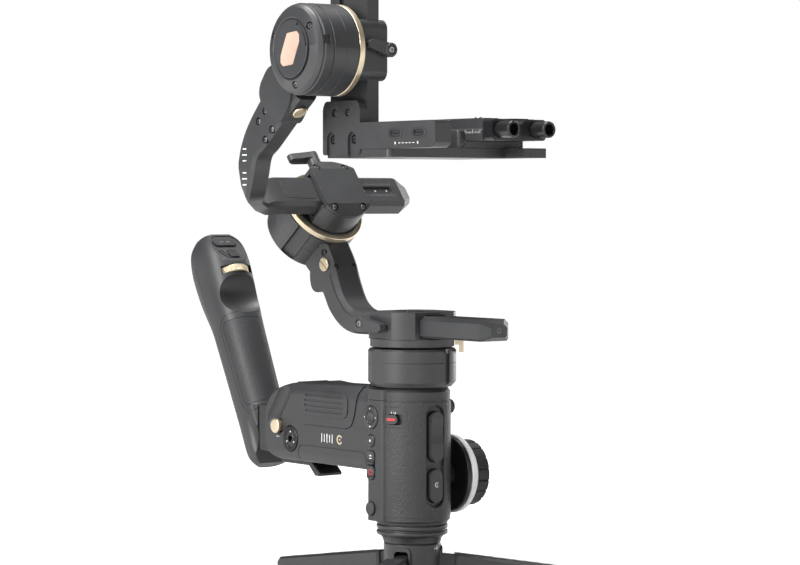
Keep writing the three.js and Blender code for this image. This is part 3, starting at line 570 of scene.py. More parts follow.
def grip_panel():
    radius = HANDLE_RADIUS
    bottom = low("grip_panel").z
    top = high("grip_panel").z
    half = radius * math.radians(88)
    sheet = prism("z", -0.4, 0.5, rounded(-half, bottom, half, top, 5.5))
    window_at = -radius * math.radians(65)
    holes = [prism("z", -2, 2, rounded(window_at - 9.6, 115, window_at + 9.6, 131, 3.4)),
        prism("z", -2, 2, pill(0, RECESS_Z, 17.4, 77)), prism("z", -2, 2,
        rounded(half - 15, 119.5, half + 9, 150, 3)), disc(13.2, -2, 2, shift(half, 77, 0)),]
    cut(sheet, *holes)
    ribs = [block((-34, 60 + 1.7 * k, 0.1), (-28.5 + 2.2 * (k % 2), 60.8 + 1.7 * k, 0.72))
        for k in range(11)]
    panel = bent(sheet, radius)
    dress(panel, "grip_panel_leather", "handle", LEATHER, "grip_panel", edge=0.28)
    dress(bent(group(ribs), radius), "grip_panel_ribs", "handle", LEATHER, edge=0.15)


def front_keys():
    for name, z, width, height, front, bevel in (("trigger", TRIGGER_Z, 11, 37, -31, 1.5),
            ("function_button", FUNCTION_Z, 11, 24.6, -30, 1.9)):
        key = prism("y", front, -21.5, pill(0, z, width, height))
        if name == "trigger":
            cut(key, disc(60, -8, 8, along_x(-90.2, z + 4)))
        dress_key(key, f"{name}_cap", name, bevel, 4)
    face = on_face((0, -30, 73), (0, -1, 0))
    ring = band(0, 0, 1.9, 1.35, 40, 320, 24)
    print_on("function_mark", "function_button", PAINT, face, [ring, circle(0.1, 0, 0.5, 16)])


def power_switch():
    place = switch_frame(POWER_Z)
    cap = prism("z", -2.3, 1.2, pill(-2.2, 0, 10.2, 6.9), place)
    dress_key(cap, "power_slider", "power_switch", 0.7, 3)
    bar = prism("z", 0.6, 1.5, pill(-2.2, 0, 6.8, 1.9), place)
    dress(bar, "power_slider_mark", "power_switch", RED, edge=0.25)
    upper = switch_frame(POWER_Z + 5)
    marks = [pill(-2.6, 0, 0.5, 1.7), band(0.2, 0, 1.0, 0.65, 130, 410, 20)]
    print_on("power_marks", "handle", PAINT, upper @ shift(0, 0, 0.02), marks, 0.05)


def control_face():
    x = low("handle_body").x
    place = on_left(x, CONTROLS_Y, NAV_Z)
    dial = lathe([(0, -3), (8.6, -3), (8.6, 0.4), (8.0, 1.0), (5.6, 1.15), (5.1, 0.2), (0, 0.2)], place,
        72)
    dress_key(dial, "nav_ring", "nav_button", 0.2)
    centre = lathe([(0, -1), (4.5, -1), (4.5, 0.8), (3.9, 1.2), (2.2, 1.0), (0, 0.85)], place, 48)
    dress(centre, "nav_centre", "nav_button", BUTTON, edge=0.2)
    ticks = [pill(0, 6.7, 1.0, 0.9), pill(0, -6.7, 1.8, 0.8), pill(6.7, 0, 0.7, 1.1),
        pill(-6.7, 0, 0.7, 1.1)]
    print_on("nav_marks", "nav_button", PAINT, place @ shift(0, 0, 1.05), ticks, 0.06)

    spot = on_left(x, CONTROLS_Y, PHOTO_Z)
    key = lathe([(0, -3), (4.6, -3), (4.6, 0.4), (3.9, 1.0), (0, 0.9)], spot, 48)
    dress_key(key, "photo_key", "photo_button", 0.25)
    print_on("photo_mark", "photo_button", PAINT, spot @ shift(0, 0, 0.95),
        [circle(0, 0, 0.95, 24)], 0.06)
    for node, z, label in (("rocker_button", ROCKER_Z, "rocker"),
            ("record_button", RECORD_Z, "record")):
        key = prism("x", x - 1, x + 3.4, rounded(5.4, z - 5, 14.6, z + 5, 3))
        cut(key, disc(14, -9, 9, on_face((x - 14.5, 10, z), (0, 1, 0))))
        dress_key(key, f"{label}_key", node, 0.6, 3)
        where = on_left(x - 0.55, 10, z)
        if label == "rocker":
            marks = [[(-1.6, 1.0), (0, 3.0), (1.6, 1.0)], pill(0, -0.6, 3.0, 0.6),
                [(-1.6, -2.0), (1.6, -2.0), (0, -4.0)]]
            print_on("rocker_marks", node, PAINT, where, marks, 0.1)
        else:
            ring = band(0, 0, 2.4, 1.8, 0, 350, 32)
            print_on("record_mark", node, RED, where, [ring], 0.1)
    spot = on_left(x, CONTROLS_Y, MODE_Z)
    knob = lathe([(0, -3), (5.2, -3), (5.2, 1.0), (4.6, 1.6), (0, 1.4)], spot, 96,
        lambda r, z, angle: r - (0.18 if r > 5 else 0) * (math.cos(24 * angle) > 0))
    dress_key(knob, "mode_key", "mode_button", 0)
    jog = pivot_on_side()
    cap = lathe([(0, -2.4), (5.4, -2.4), (5.4, 2.8), (4.2, 4.0), (3.2, 3.7), (0, 3.3)], jog, 96,
        lambda r, z, angle: r - (0.22 if r > 5 else 0) * (math.cos(28 * angle) > 0))
    dress_key(cap, "jog_knob_cap", "jog_knob", 0)


def pivot_on_side():
    centre = (low("jog_knob") + high("jog_knob")) / 2
    return on_face((29, centre.y, centre.z), (1, 0, 0))


# ---------- focus wheel
def focus_wheel():
    place = along_x(0, pivot("focus_turn").z)
    inner = low("focus_wheel_base").x
    rim = high("focus_wheel_base").y
    base = lathe([(0, inner), (11, inner), (11, 31.5), (rim - 1, 31.5), (rim, 32.5), (rim, 34.6),
        (8, 34.6), (8, 40), (0, 40)], place, 128)
    dress(base, "focus_wheel_hub", "handle", BLACK, "focus_wheel_base", edge=0.3)
    notch = block((-2.6, -2, -1), (2.6, 2, 5), shift(30.4, 0, pivot("focus_turn").z))
    dress(notch, "focus_wheel_key", "handle", BUTTON, edge=0.4)
    wide = high("focus_wheel_scale").y
    outer = high("focus_wheel_scale").x
    ring = lathe([(8.4, 35), (wide, 35), (wide, 39.2), (27, outer), (8.4, outer), (8.4, 35)], place,
        128)
    dress(ring, "focus_scale_ring", "focus_wheel", WHITE, "focus_wheel_scale", edge=0.15)
    ticks = []
    for k in range(60):
        length = 1.9 if k % 5 == 0 else 1.1
        ticks.append(block((25.9, -0.14, 0), (25.9 + length, 0.14, 0.08),
            place @ turn(6 * k, "Z") @ shift(0, 0, outer - 0.02) @ shift(26, 0, 0) @ turn(50, "Y")
            @ shift(-26, 0, 0)))
    dress(group(ticks), "focus_scale_ticks", "focus_wheel", BLACK, edge=0)
    grip_r = high("focus_wheel_grip").y
    low_x, high_x = low("focus_wheel_grip").x, high("focus_wheel_grip").x

    def scalloped(r, z, angle):
        if r < grip_r - 1.6 or not low_x + 0.4 < z < high_x - 0.4:
            return min(r, grip_r - 0.9)
        wave = abs(math.sin(9 * angle))
        return r - 1.0 * max(0.0, 1 - wave * 3.2)

    rows = [low_x + 0.5 + (high_x - low_x - 1.0) * k / 8 for k in range(9)]
    profile = [(0, low_x), (grip_r - 1.2, low_x), *[(grip_r, z) for z in rows], (grip_r - 1.2, high_x),
        (grip_r - 5, high_x), (grip_r - 6, high_x - 1.2), (0, high_x - 1.2)]
    dress(lathe(profile, place, 288, scalloped), "focus_grip_ring", "focus_wheel", RUBBER,
        "focus_wheel_grip", edge=0, angle=35)


# ---------- battery arm
def arm_shape(inset):
    front = low("battery_arm_housing").y
    bottom = low("battery_arm_housing").z
    half = high("battery_arm_housing").x - inset
    lower = [(front, bottom + inset), (136, bottom + inset)]
    tail = curve([(143, bottom + 0.4 + inset), (151.5, bottom + 5 + inset), (156.6 - inset, 93),
        (158 - inset, 106), (155.8 - inset, 119), (149, 129.5 - inset), (138, 137 - inset),
        (121, 141.6 - inset), (104, 140.6 - inset), (80, 141 - inset)], 8)
    side = prism("x", -40, 40, [*lower, *tail, (front, 142.8 - inset)])
    section = rounded(-half, bottom - 5, half, 144.6 - inset, 13, 10)
    bottom_edges = rounded(-half, bottom + inset, half, 170, 7, 6)
    return common(side, prism("y", 0, 200, section), prism("y", 0, 200, bottom_edges))


def cover_outline(grow=0.0):
    """The battery cover seen from the side: an S-curve towards the handle."""
    right = curve([(33 - grow, 150), (34 - grow, 140), (36.5 - grow, 129), (39 - grow, 120),
        (43, 113 - grow), (50, 110.6 - grow)], 6)
    left = curve([(103, 110.6 - grow), (111 + grow, 113), (115.5 + grow, 121), (117.5 + grow, 133),
        (118 + grow, 150)], 6)
    return [*right, *left]


def battery_arm_shell():
    x = low("battery_arm_housing").x
    shell = arm_shape(0)
    bed = cut(prism("x", -40, 6.3, cover_outline(0.35)), arm_shape(2.6))
    scallop = scoop(Vector((-29.5, 146.5, 111.8)), Vector((-29.5, 130, 133.5)), 8.6)
    button_well = disc(6.3, -9.8, 5, on_left(x, *RELEASE_AT), segments=48)
    port_well = disc(10.4, -4.2, 5, on_left(x, *PORT_AT), segments=64)
    back = block((-40, 156.5, 82), (40, 170, 124))
    panel = rounded(24, 70, 112, 94.5, 6)
    seam = cut(prism("x", -40, -10, panel), arm_shape(0.5),
        prism("x", -60, 0, rounded(24.5, 69, 111.5, 94.0, 5.6)))
    far_seam = block((19.5, 10, 107.6), (40, 157, 108.0))
    cut(shell, bed, scallop, button_well, port_well, back)
    cut(shell, seam)
    cut(shell, cut(far_seam, arm_shape(0.45)))
    dress(shell, "battery_arm_shell", "handle", PLASTIC, "battery_arm_housing", edge=0.5, segments=3)


def battery_cover():
    cover = common(cut(arm_shape(-0.8), arm_shape(2.2)), prism("x", -40, 6, cover_outline()))
    dress(cover, "battery_cover_shell", "battery_cover", PLASTIC, "battery_cover", edge=0.7, segments=3)
    pad_outline = rounded(46, 118, 107, 137, 6.5)
    pad = common(cut(arm_shape(-1.5), arm_shape(0.5)), prism("x", -40, -12, pad_outline))
    slots = [prism("x", -40, 0, pill(76.5, 121.8 + 3.9 * k, 52 - 3 * abs(k - 1.5), 1.7))
        for k in range(4)]
    tools = group([cut(slot, arm_shape(-0.75)) for slot in slots])
    cut(pad, tools)
    dress(pad, "battery_cover_pad", "battery_cover", PLASTIC, edge=0.35)
    lip = prism("z", -1, 2.4, pill(-2, 0, 12, 5), shift(-9, 34.5, 140.8))
    dress(lip, "battery_cover_latch", "handle", BUTTON, edge=0.7, segments=3)


def battery_arm_details():
    x = low("battery_arm_housing").x
    release = lathe([(0, -6), (4.4, -6), (4.4, 1.2), (5.6, 1.8), (5.7, 3.9), (5.0, 4.6), (0, 4.7)],
        on_left(x, *RELEASE_AT), 64)
    dress(release, "release_button_cap", "release_button", GOLD, "release_button", edge=0.25)
    place = on_left(x, 138, 98.6)
    print_on("release_marks", "handle", PAINT, place, [[(-3.6, 0), (-2.2, 0.9), (-2.2, -0.9)],
        pill(-0.4, 0, 2.4, 0.5)])
    keep("battery_pack", CELLS)
    keep("latch_lever", BLACK, 0.5)
    keep("sling_mount", BLACK, 0.6)
    accent = on_left(x, 60, 101.5)
    print_on("arm_accent_light", "handle", PAINT, accent,
        [pill(-7.2 - 3.4 * k, 0, 0.9, 7 - 1.1 * (k % 2)) for k in range(5)])
    print_on("arm_accent_gold", "handle", GOLD, accent @ shift(2.2, 0, 0),
        [band(0, 0, 3.6, 2.4, 30, 330, 32), pill(0.2, 0, 2.2, 1.1)])


def scoop(start, end, radius):
    """A capsule between two points, to cut a finger hollow."""
    axis = (end - start)
    length = axis.length
    profile = [(radius * math.sin(math.radians(t)), -radius * math.cos(math.radians(t)))
        for t in range(0, 91, 9)]
    profile += [(radius * math.cos(math.radians(t)), length + radius * math.sin(math.radians(t)))
        for t in range(0, 91, 9)]
    place = axis.to_track_quat("Z", "Y").to_matrix().to_4x4()
    place.translation = start
    return lathe(profile, place, 48)


def accessory_port():
    place = on_left(low("accessory_port").x, *PORT_AT)
    teeth = 36
    face = lathe([(0, -5), (9.8, -5), (9.8, -0.4), (9.3, 0), (6.9, 0), (6.5, -0.9), (4.0, -0.9),
        (3.6, -0.4), (2.6, -0.4), (2.6, -4.2), (0, -4.2)], place)
    grooves = group([block((7.0, -0.28, -0.9), (10.5, 0.28, 1), place @ turn(360 * k / teeth, "Z"))
        for k in range(teeth)])
    cut(face, grooves)
    dress(face, "accessory_rosette", "handle", BLACK, "accessory_port", edge=0.12)
    studs = [lathe([(0, -1), (0.9, -1), (0.9, -0.5), (0.5, -0.2), (0, -0.2)],
        place @ turn(120 * k + 90, "Z") @ shift(5.3, 0, 0), 20) for k in range(3)]
    dress(group(studs), "accessory_contacts", "handle", STEEL, edge=0)


# ---------- sling grip
SLING_FOOT = (0, 183.5, 79)
SLING_FACE_TILT = 66
SLEEVE_LOW, SLEEVE_HIGH, SLEEVE_EDGE = 40.5, 112.5, -6
SLING_FACE_AT = (-19.9, 170)
SLING_STATIONS = [  # height, reach forward, reach backward, half width
    (-6, 15, 12, 13), (0, 18, 16, 16.5), (8, 19.5, 18.5, 17.5), (30, 19.5, 18.5, 17.6),
    (60, 19.5, 18.5, 18), (90, 20.2, 19, 18.5), (112, 21, 19.5, 19), (124, 21.5, 21.5, 19.8),
    (140, 22, 25, 20.4), (160, 23.5, 26.5, 20.8), (174, 22, 25, 20.4), (184, 18, 22, 18.5),
    (191, 12, 16, 14),
]


def sling_frame():
    lean = Vector(JOINTS["sling_dial_turn"]["axis"])
    return shift(*SLING_FOOT) @ Matrix.Rotation(-math.atan2(lean.y, lean.z), 4, "X")


def sling_ring(height, forward, backward, half, power=2.6, steps=72):
    ring = []
    for i in range(steps):
        angle = TAU * i / steps
        c, s = math.cos(angle), math.sin(angle)
        across = math.copysign(abs(c) ** (2 / power), c) * half
        depth = math.copysign(abs(s) ** (2 / power), s) * (forward if s < 0 else backward)
        ring.append((across, depth, height))
    return ring


def sling_loft(inset, start, end):
    stations = [s for s in curve(SLING_STATIONS, 6) if start <= s[0] <= end]
    rings = [sling_ring(h, f - inset, b - inset, w - inset) for h, f, b, w in stations]
    return loft(rings, sling_frame())


def ellipsoid(radii, at, place):
    profile = [(math.sin(math.radians(t)), -math.cos(math.radians(t))) for t in range(0, 181, 6)]
    return lathe(profile, place @ shift(*at) @ Matrix.Diagonal((*radii, 1)), 72)


def sling_face():
    """The sloped face with the grip's top button and rocker."""
    return sling_frame() @ shift(0, *SLING_FACE_AT) @ turn(SLING_FACE_TILT, "X")


def sling_shell():
    place = sling_frame()
    face = sling_face()
    body = sling_loft(0, -10, 200)
    join(body, block((-15, 182, 84), (15, 192, 120)))
    bed = cut(prism("x", -30, 30, rounded(-40, SLEEVE_LOW - 0.3, SLEEVE_EDGE + 0.3, SLEEVE_HIGH + 0.3,
        5.3), place), sling_loft(2.2, 20, 130))
    thumb = ellipsoid((30, 15, 17), (-1, -25, 133), place)
    face_cut = block((-40, -60, 0), (40, 60, 60), face)
    channel = ellipsoid((9, 8.5, 25), (-23, -7.5, 14), place)
    cut(body, block((-60, 100, 60), (60, 182, 121.5)), bed)
    cut(body, thumb, face_cut)
    cut(body, channel)
    dish = prism("z", -0.7, 5, corner_rounded([(-14.5, -6.6), (14.5, -6.6), (16, 2), (14.5, 14),
        (9.5, 21), (-9.5, 21), (-14.5, 14), (-16, 2)], 4), face)
    button_well = prism("z", -4.5, 5, pill(-1.5, 12.6, 22.8, 9), face)
    rocker_well = prism("z", -5.5, 5, rounded(-3.6, -5.4, 5.6, 4.4, 2), face)
    dial_well = prism("z", 151.7, 158.3, corner_rounded([(-14.6, -30), (14.6, -30), (14.6, 3),
        (-14.6, 3)], 1.5), place)
    trigger_well = block((-6.5, 18.2, 126), (6.5, 40, 168), place)
    seam = cut(block((-30, 6.8, -20), (30, 7.2, 168), place), sling_loft(0.35, -10, 200))
    panel = cut(prism("x", -30, 30, rounded(-40, 34, -2.2, 118, 12), place),
        prism("x", -31, 31, rounded(-40, 34.5, -2.7, 117.5, 11.5), place))
    cut(panel, sling_loft(0.3, -10, 200))
    cut(body, dish)
    cut(body, button_well, rocker_well)
    cut(body, dial_well, trigger_well)
    cut(body, seam, panel)
    dress(body, "sling_grip_shell", "sling_grip", PLASTIC, "sling_grip_body", edge=0.6,
        segments=3, angle=34)


def sling_sleeve():
    skin = cut(sling_loft(0, 30, 124.5), sling_loft(1.9, 8, 141))
    common(skin, prism("x", -30, 30, rounded(-40, SLEEVE_LOW, SLEEVE_EDGE, SLEEVE_HIGH, 5),
        sling_frame()))
    cut(skin, block((-60, 100, 60), (60, 182, 121.5)))
    dress(skin, "sling_grip_skin", "sling_grip", SLEEVE, "sling_grip_sleeve", edge=0.45, angle=34)


def sling_keys():
    face = sling_face()
    button = prism("z", -3.6, 0.9, pill(-1.5, 12.6, 22, 8.2), face)
    dress_key(button, "sling_top_key", "sling_top_button", 0.7, 3)
    print_on("sling_top_mark", "sling_top_button", GREY_PAINT, face @ shift(-1.5, 12.6, 0.9),
        [pill(-3, 0, 3.4, 0.9), pill(3, 0, 3.4, 0.9)], 0.05)
    rocker = prism("z", -3.6, 0.8, rounded(-3, -4.8, 5, 3.8, 1.6), face)
    cut(rocker, disc(20, -10, 10, face @ shift(1, -0.5, 20.2) @ turn(90, "Y")))
    dress_key(rocker, "sling_rocker_key", "sling_rocker", 0.5, 3)
    # Near-black arcs and a bar laid on the dish floor: painted shade for the rocker's slots.
    slots = [band(4, 8, r, r - 1.1, 195, 245, 12) for r in (13.5, 16.5)]
    base = pill(2, -5.7, 9, 0.7)
    print_on("sling_rocker_slot_shade", "sling_grip", PAINTED_SHADE, face @ shift(0, 0, -0.72), [*slots, base], 0.05)


def sling_dial():
    place = sling_frame()
    dial_low, dial_high = 152.2, 157.8
    radius = (high("sling_dial").x - low("sling_dial").x) / 2
    at = place @ shift(0, -11.6, 0)

    def knurled(r, z, angle):
        if r < radius - 0.2:
            return r
        turns, pitch = 44, 1.15
        left = abs(((angle * turns / TAU + z / pitch) % 1) - 0.5)
        right = abs(((angle * turns / TAU - z / pitch) % 1) - 0.5)
        return r - 0.55 * (1 - 2 * min(left, right)) ** 2

    rows = [dial_low + 0.6 + (dial_high - dial_low - 1.2) * k / 18 for k in range(19)]
    dial = lathe([(0, dial_low), (radius - 0.7, dial_low), *[(radius, z) for z in rows],
        (radius - 0.7, dial_high), (0, dial_high)], at, 352, knurled)
    dress(dial, "sling_dial_ring", "sling_dial", GOLD, "sling_dial", edge=0, angle=50)
    # A near-black floor in the dial's well, round the dial: painted shade.
    floor = common(block((-14.4, -19, 151.4), (14.4, 3.4, 158.6), place), sling_loft(2.6, 120, 190))
    hollow = disc(radius + 0.7, 151.9, 158.1, at)
    cut(floor, hollow)
    dress(floor, "sling_dial_recess_shade", "sling_grip", PAINTED_SHADE, edge=0)


def sling_trigger():
    profile = corner_rounded([(20.8, 127), (23, 127), (27, 133), (29.3, 146), (29.4, 158), (27, 167),
        (20.8, 167)], 4, 6)
    trigger = prism("x", -5.8, 5.8, profile, sling_frame())
    dress_key(trigger, "sling_trigger_key", "sling_trigger", 1.1, 4)


# ---------- pan axis
def lever(axis, place, length, angle, rise=0.0):
    """A clamp lever: a round hub about +Z, and a paddle that tapers away from it."""
    top = 8.0 + rise
    hub = lathe([(0, 0), (4.6, 0), (5.2, 0.8), (5.2, top - 1), (4.6, top - 0.2), (3.4, top), (0, top)],
        place, 48)
    outline = corner_rounded([(-3, -5), (length - 4, -2.9), (length, 0.2), (length - 1.4, 4.2),
        (8.5, 4.6), (-3, 5)], 1.6)
    blade = prism("z", 2.0 + rise, 7.3 + rise, outline, place @ turn(angle, "Z"))
    join(hub, blade)
    bore = place @ shift(0, 0, top)
    cut(hub, disc(3.0, -1.6, 2, bore, segments=32))
    node = f"{axis}_clamp_lever"
    dress(hub, f"{axis}_lever_body", node, METAL, node, edge=0.5, segments=3)
    screws(f"{axis}_lever_screw", node, [bore @ shift(0, 0, -0.1)], 2.5, STEEL)


def pan_motor():
    bottom = low("pan_motor_housing").z
    radius = high("pan_motor_housing").x
    barrel = lathe([(0, bottom), (radius - 3.2, bottom), (radius, bottom + 3.6), (radius, 162.8),
        (radius - 0.35, 163.0), (radius, 163.2), (radius, 171.6), (radius - 1.2, 173.2), (0, 173.2)],
        segments=160)
    flat_left = block((-40, -10, 140), (-32.2, 10, 180))
    slot_angle = 14
    spin = turn(slot_angle, "Z")
    notch = prism("z", 140, 180, [(-2.6, -31.2), (2.6, -31.2), (3.6, -36), (-3.6, -36)], spin)
    hollow = prism("x", -3.4, 3.4, [(-29, 144), (-36, 144), (-36, 149.5)], spin)
    facet = block((5.5, -40, 140), (16, -32.6, 180), turn(slot_angle + 8, "Z"))
    cut(barrel, flat_left, notch)
    cut(barrel, hollow, facet)
    dress(barrel, "pan_motor_shell", "handle", METAL, "pan_motor_housing", edge=0.45,
        segments=3, angle=20)
    stop_pin = disc(1.4, 170, 173.6, spin @ shift(0, -32.2, 0), 0.4, 24)
    dress(stop_pin, "pan_stop_pin", "handle", DARK_STEEL, edge=0)


def pan_clamp():
    rotor_low = low("pan_clamp").z
    top = high("pan_clamp").z
    body = lathe([(0, rotor_low), (31.0, rotor_low), (31.5, rotor_low + 0.5), (31.5, 180.4),
        (31.0, 181), (0, 181)], segments=160)
    tower = prism("z", 180.6, top, rounded(-30, -27, 30, 27, 7, 8))
    join(body, tower)
    common(body, disc(32.5, 170, 210, segments=160))
    w = high("pan_arm").x + 0.3
    channel = prism("y", -40, 40, [(-w, 181.7), (w, 181.7), (w, 194.4), (w - 4.2, 198.3),
        (4.2 - w, 198.3), (-w, 194.4)])
    cap_seam = cut(prism("z", 196.2, 196.5, rounded(-40, -40, 40, 40, 1)),
        prism("z", 190, 200, rounded(-29.6, -26.6, 29.6, 26.6, 7)))
    side_groove = block((-40, -19.4, 183), (-29.4, -19.0, 196.2))
    window = prism("z", 197, 206, rounded(-8.5, -20, 8.5, 18, 3))
    cut(body, channel)
    cut(body, cap_seam, side_groove)
    spots = [shift(x, y, top) for x, y in ((-20, -18), (20, -18), (-20, 18), (20, 18))]
    cut(body, counterbores(spots, 2.1), window)
    dress(body, "pan_clamp_casting", "pan_rotor", METAL, "pan_clamp", edge=0.5, segments=3)
    screws("pan_clamp_screws", "pan_rotor", spots, 2.1)

    pivot_at = pivot("pan_clamp_open")
    place = on_left(-30.3, pivot_at.y, pivot_at.z)
    lever("pan", place, 27, -8)
    keep("pan_lock_tab", GOLD, 0.5, 3)


def swept_bar(stations, chamfer, upper_chamfer=None, steps=8):
    """A bar with chamfered edges through stations of centre, half width vector, half height vector."""
    rings = []
    for station in smooth_run(stations, steps):
        at, across, up = Vector(station[0:3]), Vector(station[3:6]), Vector(station[6:9])
        low_a, low_b = 1 - chamfer / across.length, 1 - chamfer / up.length
        top_cut = upper_chamfer or chamfer
        top_a, top_b = 1 - top_cut / across.length, 1 - 0.9 * top_cut / up.length
        outline = [(1, -low_b), (1, top_b), (top_a, 1), (-top_a, 1), (-1, top_b), (-1, -low_b),
            (-low_a, -1), (low_a, -1)]
        rings.append([at + across * s + up * t for s, t in outline])
    return loft(rings)


def smooth_run(stations, steps):
    """Stations with straight runs kept and bends rounded, as flat lists of nine numbers."""
    flat = [tuple(v for part in station for v in part) for station in stations]
    straight = [s for s in flat[:3]]
    return [*straight[:2], *curve(flat[2:], steps)]


def pan_arm():
    middle = (low("pan_clamp").z + high("pan_clamp").z) / 2 + 2.45
    w = high("pan_arm").x
    half = 8
    front = low("pan_arm").y
    stations = [[(0, front, middle), (w - 6, 0, 0), (0, 0, half - 3)],
        [(0, front + 6, middle), (w, 0, 0), (0, 0, half)], [(0, 40, middle), (w, 0, 0), (0, 0, half)],
        [(0, 58, middle + 1), (w, 0, 0), (0, -1, half + 0.5)],
        [(0, 70, middle + 5.5), (w, 0, 0), (0, -4.5, half)],
        [(0, 80, middle + 14), (w, 0, 0), (0, -7.6, 5.8)],
        [(0, 88, middle + 27), (w, 0, 0), (0, -9, 4.6)],
        [(0, 97, middle + 40), (w, 0, 0), (0, -11, 7.5)],
        [(0, 110, middle + 54), (w, 0, 0), (0, -12.5, 9.5)],]
    bar = swept_bar(stations, 1.6, 3.6)
    lobe = prism("x", 1 - w, w - 1, corner_rounded([(88, 222), (94, 214), (104, 211.5), (111, 214),
        (114, 222), (113, 238), (100, 246)], 5))
    join(bar, lobe)
    cut(bar, disc(32.8, -60, 20, roll_frame()))
    channel = [block((x, -86, 196.4), (x + 7.5, 36, 200)) for x in (-9.2, 1.7)]
    cut(bar, *channel)
    side_pocket = prism("x", -w - 2, -w + 0.5, corner_rounded([(55, 193.5), (68, 199), (79, 211),
        (87, 226), (82.5, 229), (75, 217), (64, 205.5), (52, 201)], 4))
    cut(bar, side_pocket)
    side = [on_left(-w, y, z) for y, z in ((94.5, 243), (101.5, 249.5))]
    upper = [on_face((x, 94.7, 249.6), (0, -0.796, 0.605)) for x in (-8.5, 8.5)]
    lower = [on_face((x, 83.9, 232.6), (0, -0.86, 0.51)) for x in (-8.5, 8.5)]
    cut(bar, counterbores(side, 1.7), counterbores([*upper, *lower], 1.5))
    dress(bar, "pan_arm_casting", "pan_arm", METAL, "pan_arm", edge=0.45, segments=3, angle=13)
    screws("pan_arm_screws", "pan_arm", side, 1.7)
    screws("pan_arm_front_screws", "pan_arm", [*upper, *lower], 1.5)
    end_screw = on_face((0, front, middle), (0, -1, 0))
    screws("pan_arm_end_screw", "pan_arm", [end_screw @ shift(0, 0, 0.5)], 2.2)
    lock_disc("roll", on_left(*pivot("roll_lock_turn")))


def lock_disc(axis, place):
    """A coin-slotted disc standing on a face."""
    head = lathe([(0, 0), (4.9, 0), (5.4, 0.5), (5.4, 1.3), (4.9, 1.8), (0, 1.8)], place, 64)
    cut(head, block((-7, -0.6, 0.9), (7, 0.6, 3), place @ turn(-35, "Z")))
    node = f"{axis}_lock_disc"
    dress(head, f"{axis}_lock_screw", node, GOLD, node, edge=0.2)


# ---------- roll axis
def roll_frame():
    axis = Vector(JOINTS["roll"]["axis"])
    return shift(*pivot("roll")) @ Matrix.Rotation(math.atan2(-axis.y, axis.z), 4, "X")


def roll_motor():
    place = roll_frame()
    barrel = lathe([(0, -46), (27.4, -46), (28.5, -45.4), (32.5, -41.4), (32.5, -26.2), (32.15, -26),
        (32.5, -25.8), (32.5, -10.8), (31.6, -10.2), (0, -10.2)], place, 160)
    groove = prism("z", -43.2, -9, corner_rounded([(-36, -9), (-31.4, -6), (-28.4, -5.4), (-28.4, 5.4),
        (-31.4, 6), (-36, 9)], 1), place @ turn(38, "Z"))
    cut(barrel, groove)
    dress(barrel, "roll_motor_shell", "pan_arm", METAL, "roll_motor_housing", edge=0.45,
        segments=3, angle=20)
    back = lathe([(0, -46.4), (18, -46.4), (18.6, -46.0), (18.6, -45.5), (0, -45.5)], place, 96)
    dress(back, "roll_motor_badge", "pan_arm", METAL, edge=0.15)
    spots = [place @ turn(120 * k + 30, "Z") @ shift(23, 0, -46.0) @ turn(180, "X") for k in range(3)]
    screws("roll_motor_screws", "pan_arm", spots, 1.9, DARK_STEEL, 0.0)


def roll_clamp():
    place = roll_frame()
    ring = lathe([(0, -9.9), (32.0, -9.9), (32.5, -9.4), (32.5, -5.9), (32.0, -5.4), (0, -5.4)], place,
        160)
    dress(ring, "roll_ring_trim", "roll_rotor", GOLD, "roll_ring", edge=0.2)
    drum = common(prism("z", -5.1, 15.5, circle(0, 0, 27.5, 128), place),
        block((-21.5, -40, -10), (21.5, 40, 40), place))
    cut(drum, block((-60, -14.3, 0.2), (60, 14.3, 15.8), place))
    dress(drum, "roll_clamp_drum", "roll_rotor", METAL, "roll_clamp_body", edge=0.5, segments=3)
    plinth = lathe([(0, -5.3), (28.9, -5.3), (28.9, -4.4), (28.4, -4.0), (0, -4.0)], place, 160)
    cut(plinth, block((-16, -16, -9), (16, 16, 9), place))
    dress(plinth, "roll_plinth", "roll_rotor", BLACK, edge=0.15)
    facets = prism("x", -20.5, 20.5, [(-27, 15.8), (-27, 16.6), (-17, 20.4), (17, 20.4), (27, 16.6),
        (27, 15.8)], place)
    common(facets, prism("z", 10, 25, circle(0, 0, 27.5, 128), place))
    slope = math.degrees(math.atan2(3.8, 10))
    spots = [place @ shift(x, side * 19.6, 19.4) @ turn(-side * slope, "X") for x in (-13.5, 13.5)
        for side in (-1, 1)]
    cut(facets, counterbores(spots, 2.1))
    dress(facets, "roll_clamp_plate", "roll_rotor", METAL, "roll_clamp_cover", edge=0.4,
        segments=3, angle=15)
    screws("roll_clamp_screws", "roll_rotor", spots, 2.1, STEEL)
    lever("roll", place @ shift(-3, 27.8, 7) @ turn(-90, "X"), 22, 172, 6)


ROLL_BAR_FRONT = 15.5  # along the roll axis
ARM_FACET = [  # the section of the arm's cut-back outer corner
    (-104, 250), (-104, 266), (-110, 271.5), (-117.5, 275.5), (-122, 282), (-126.5, 294),
    (-128.5, 307), (-128.5, 330),
]


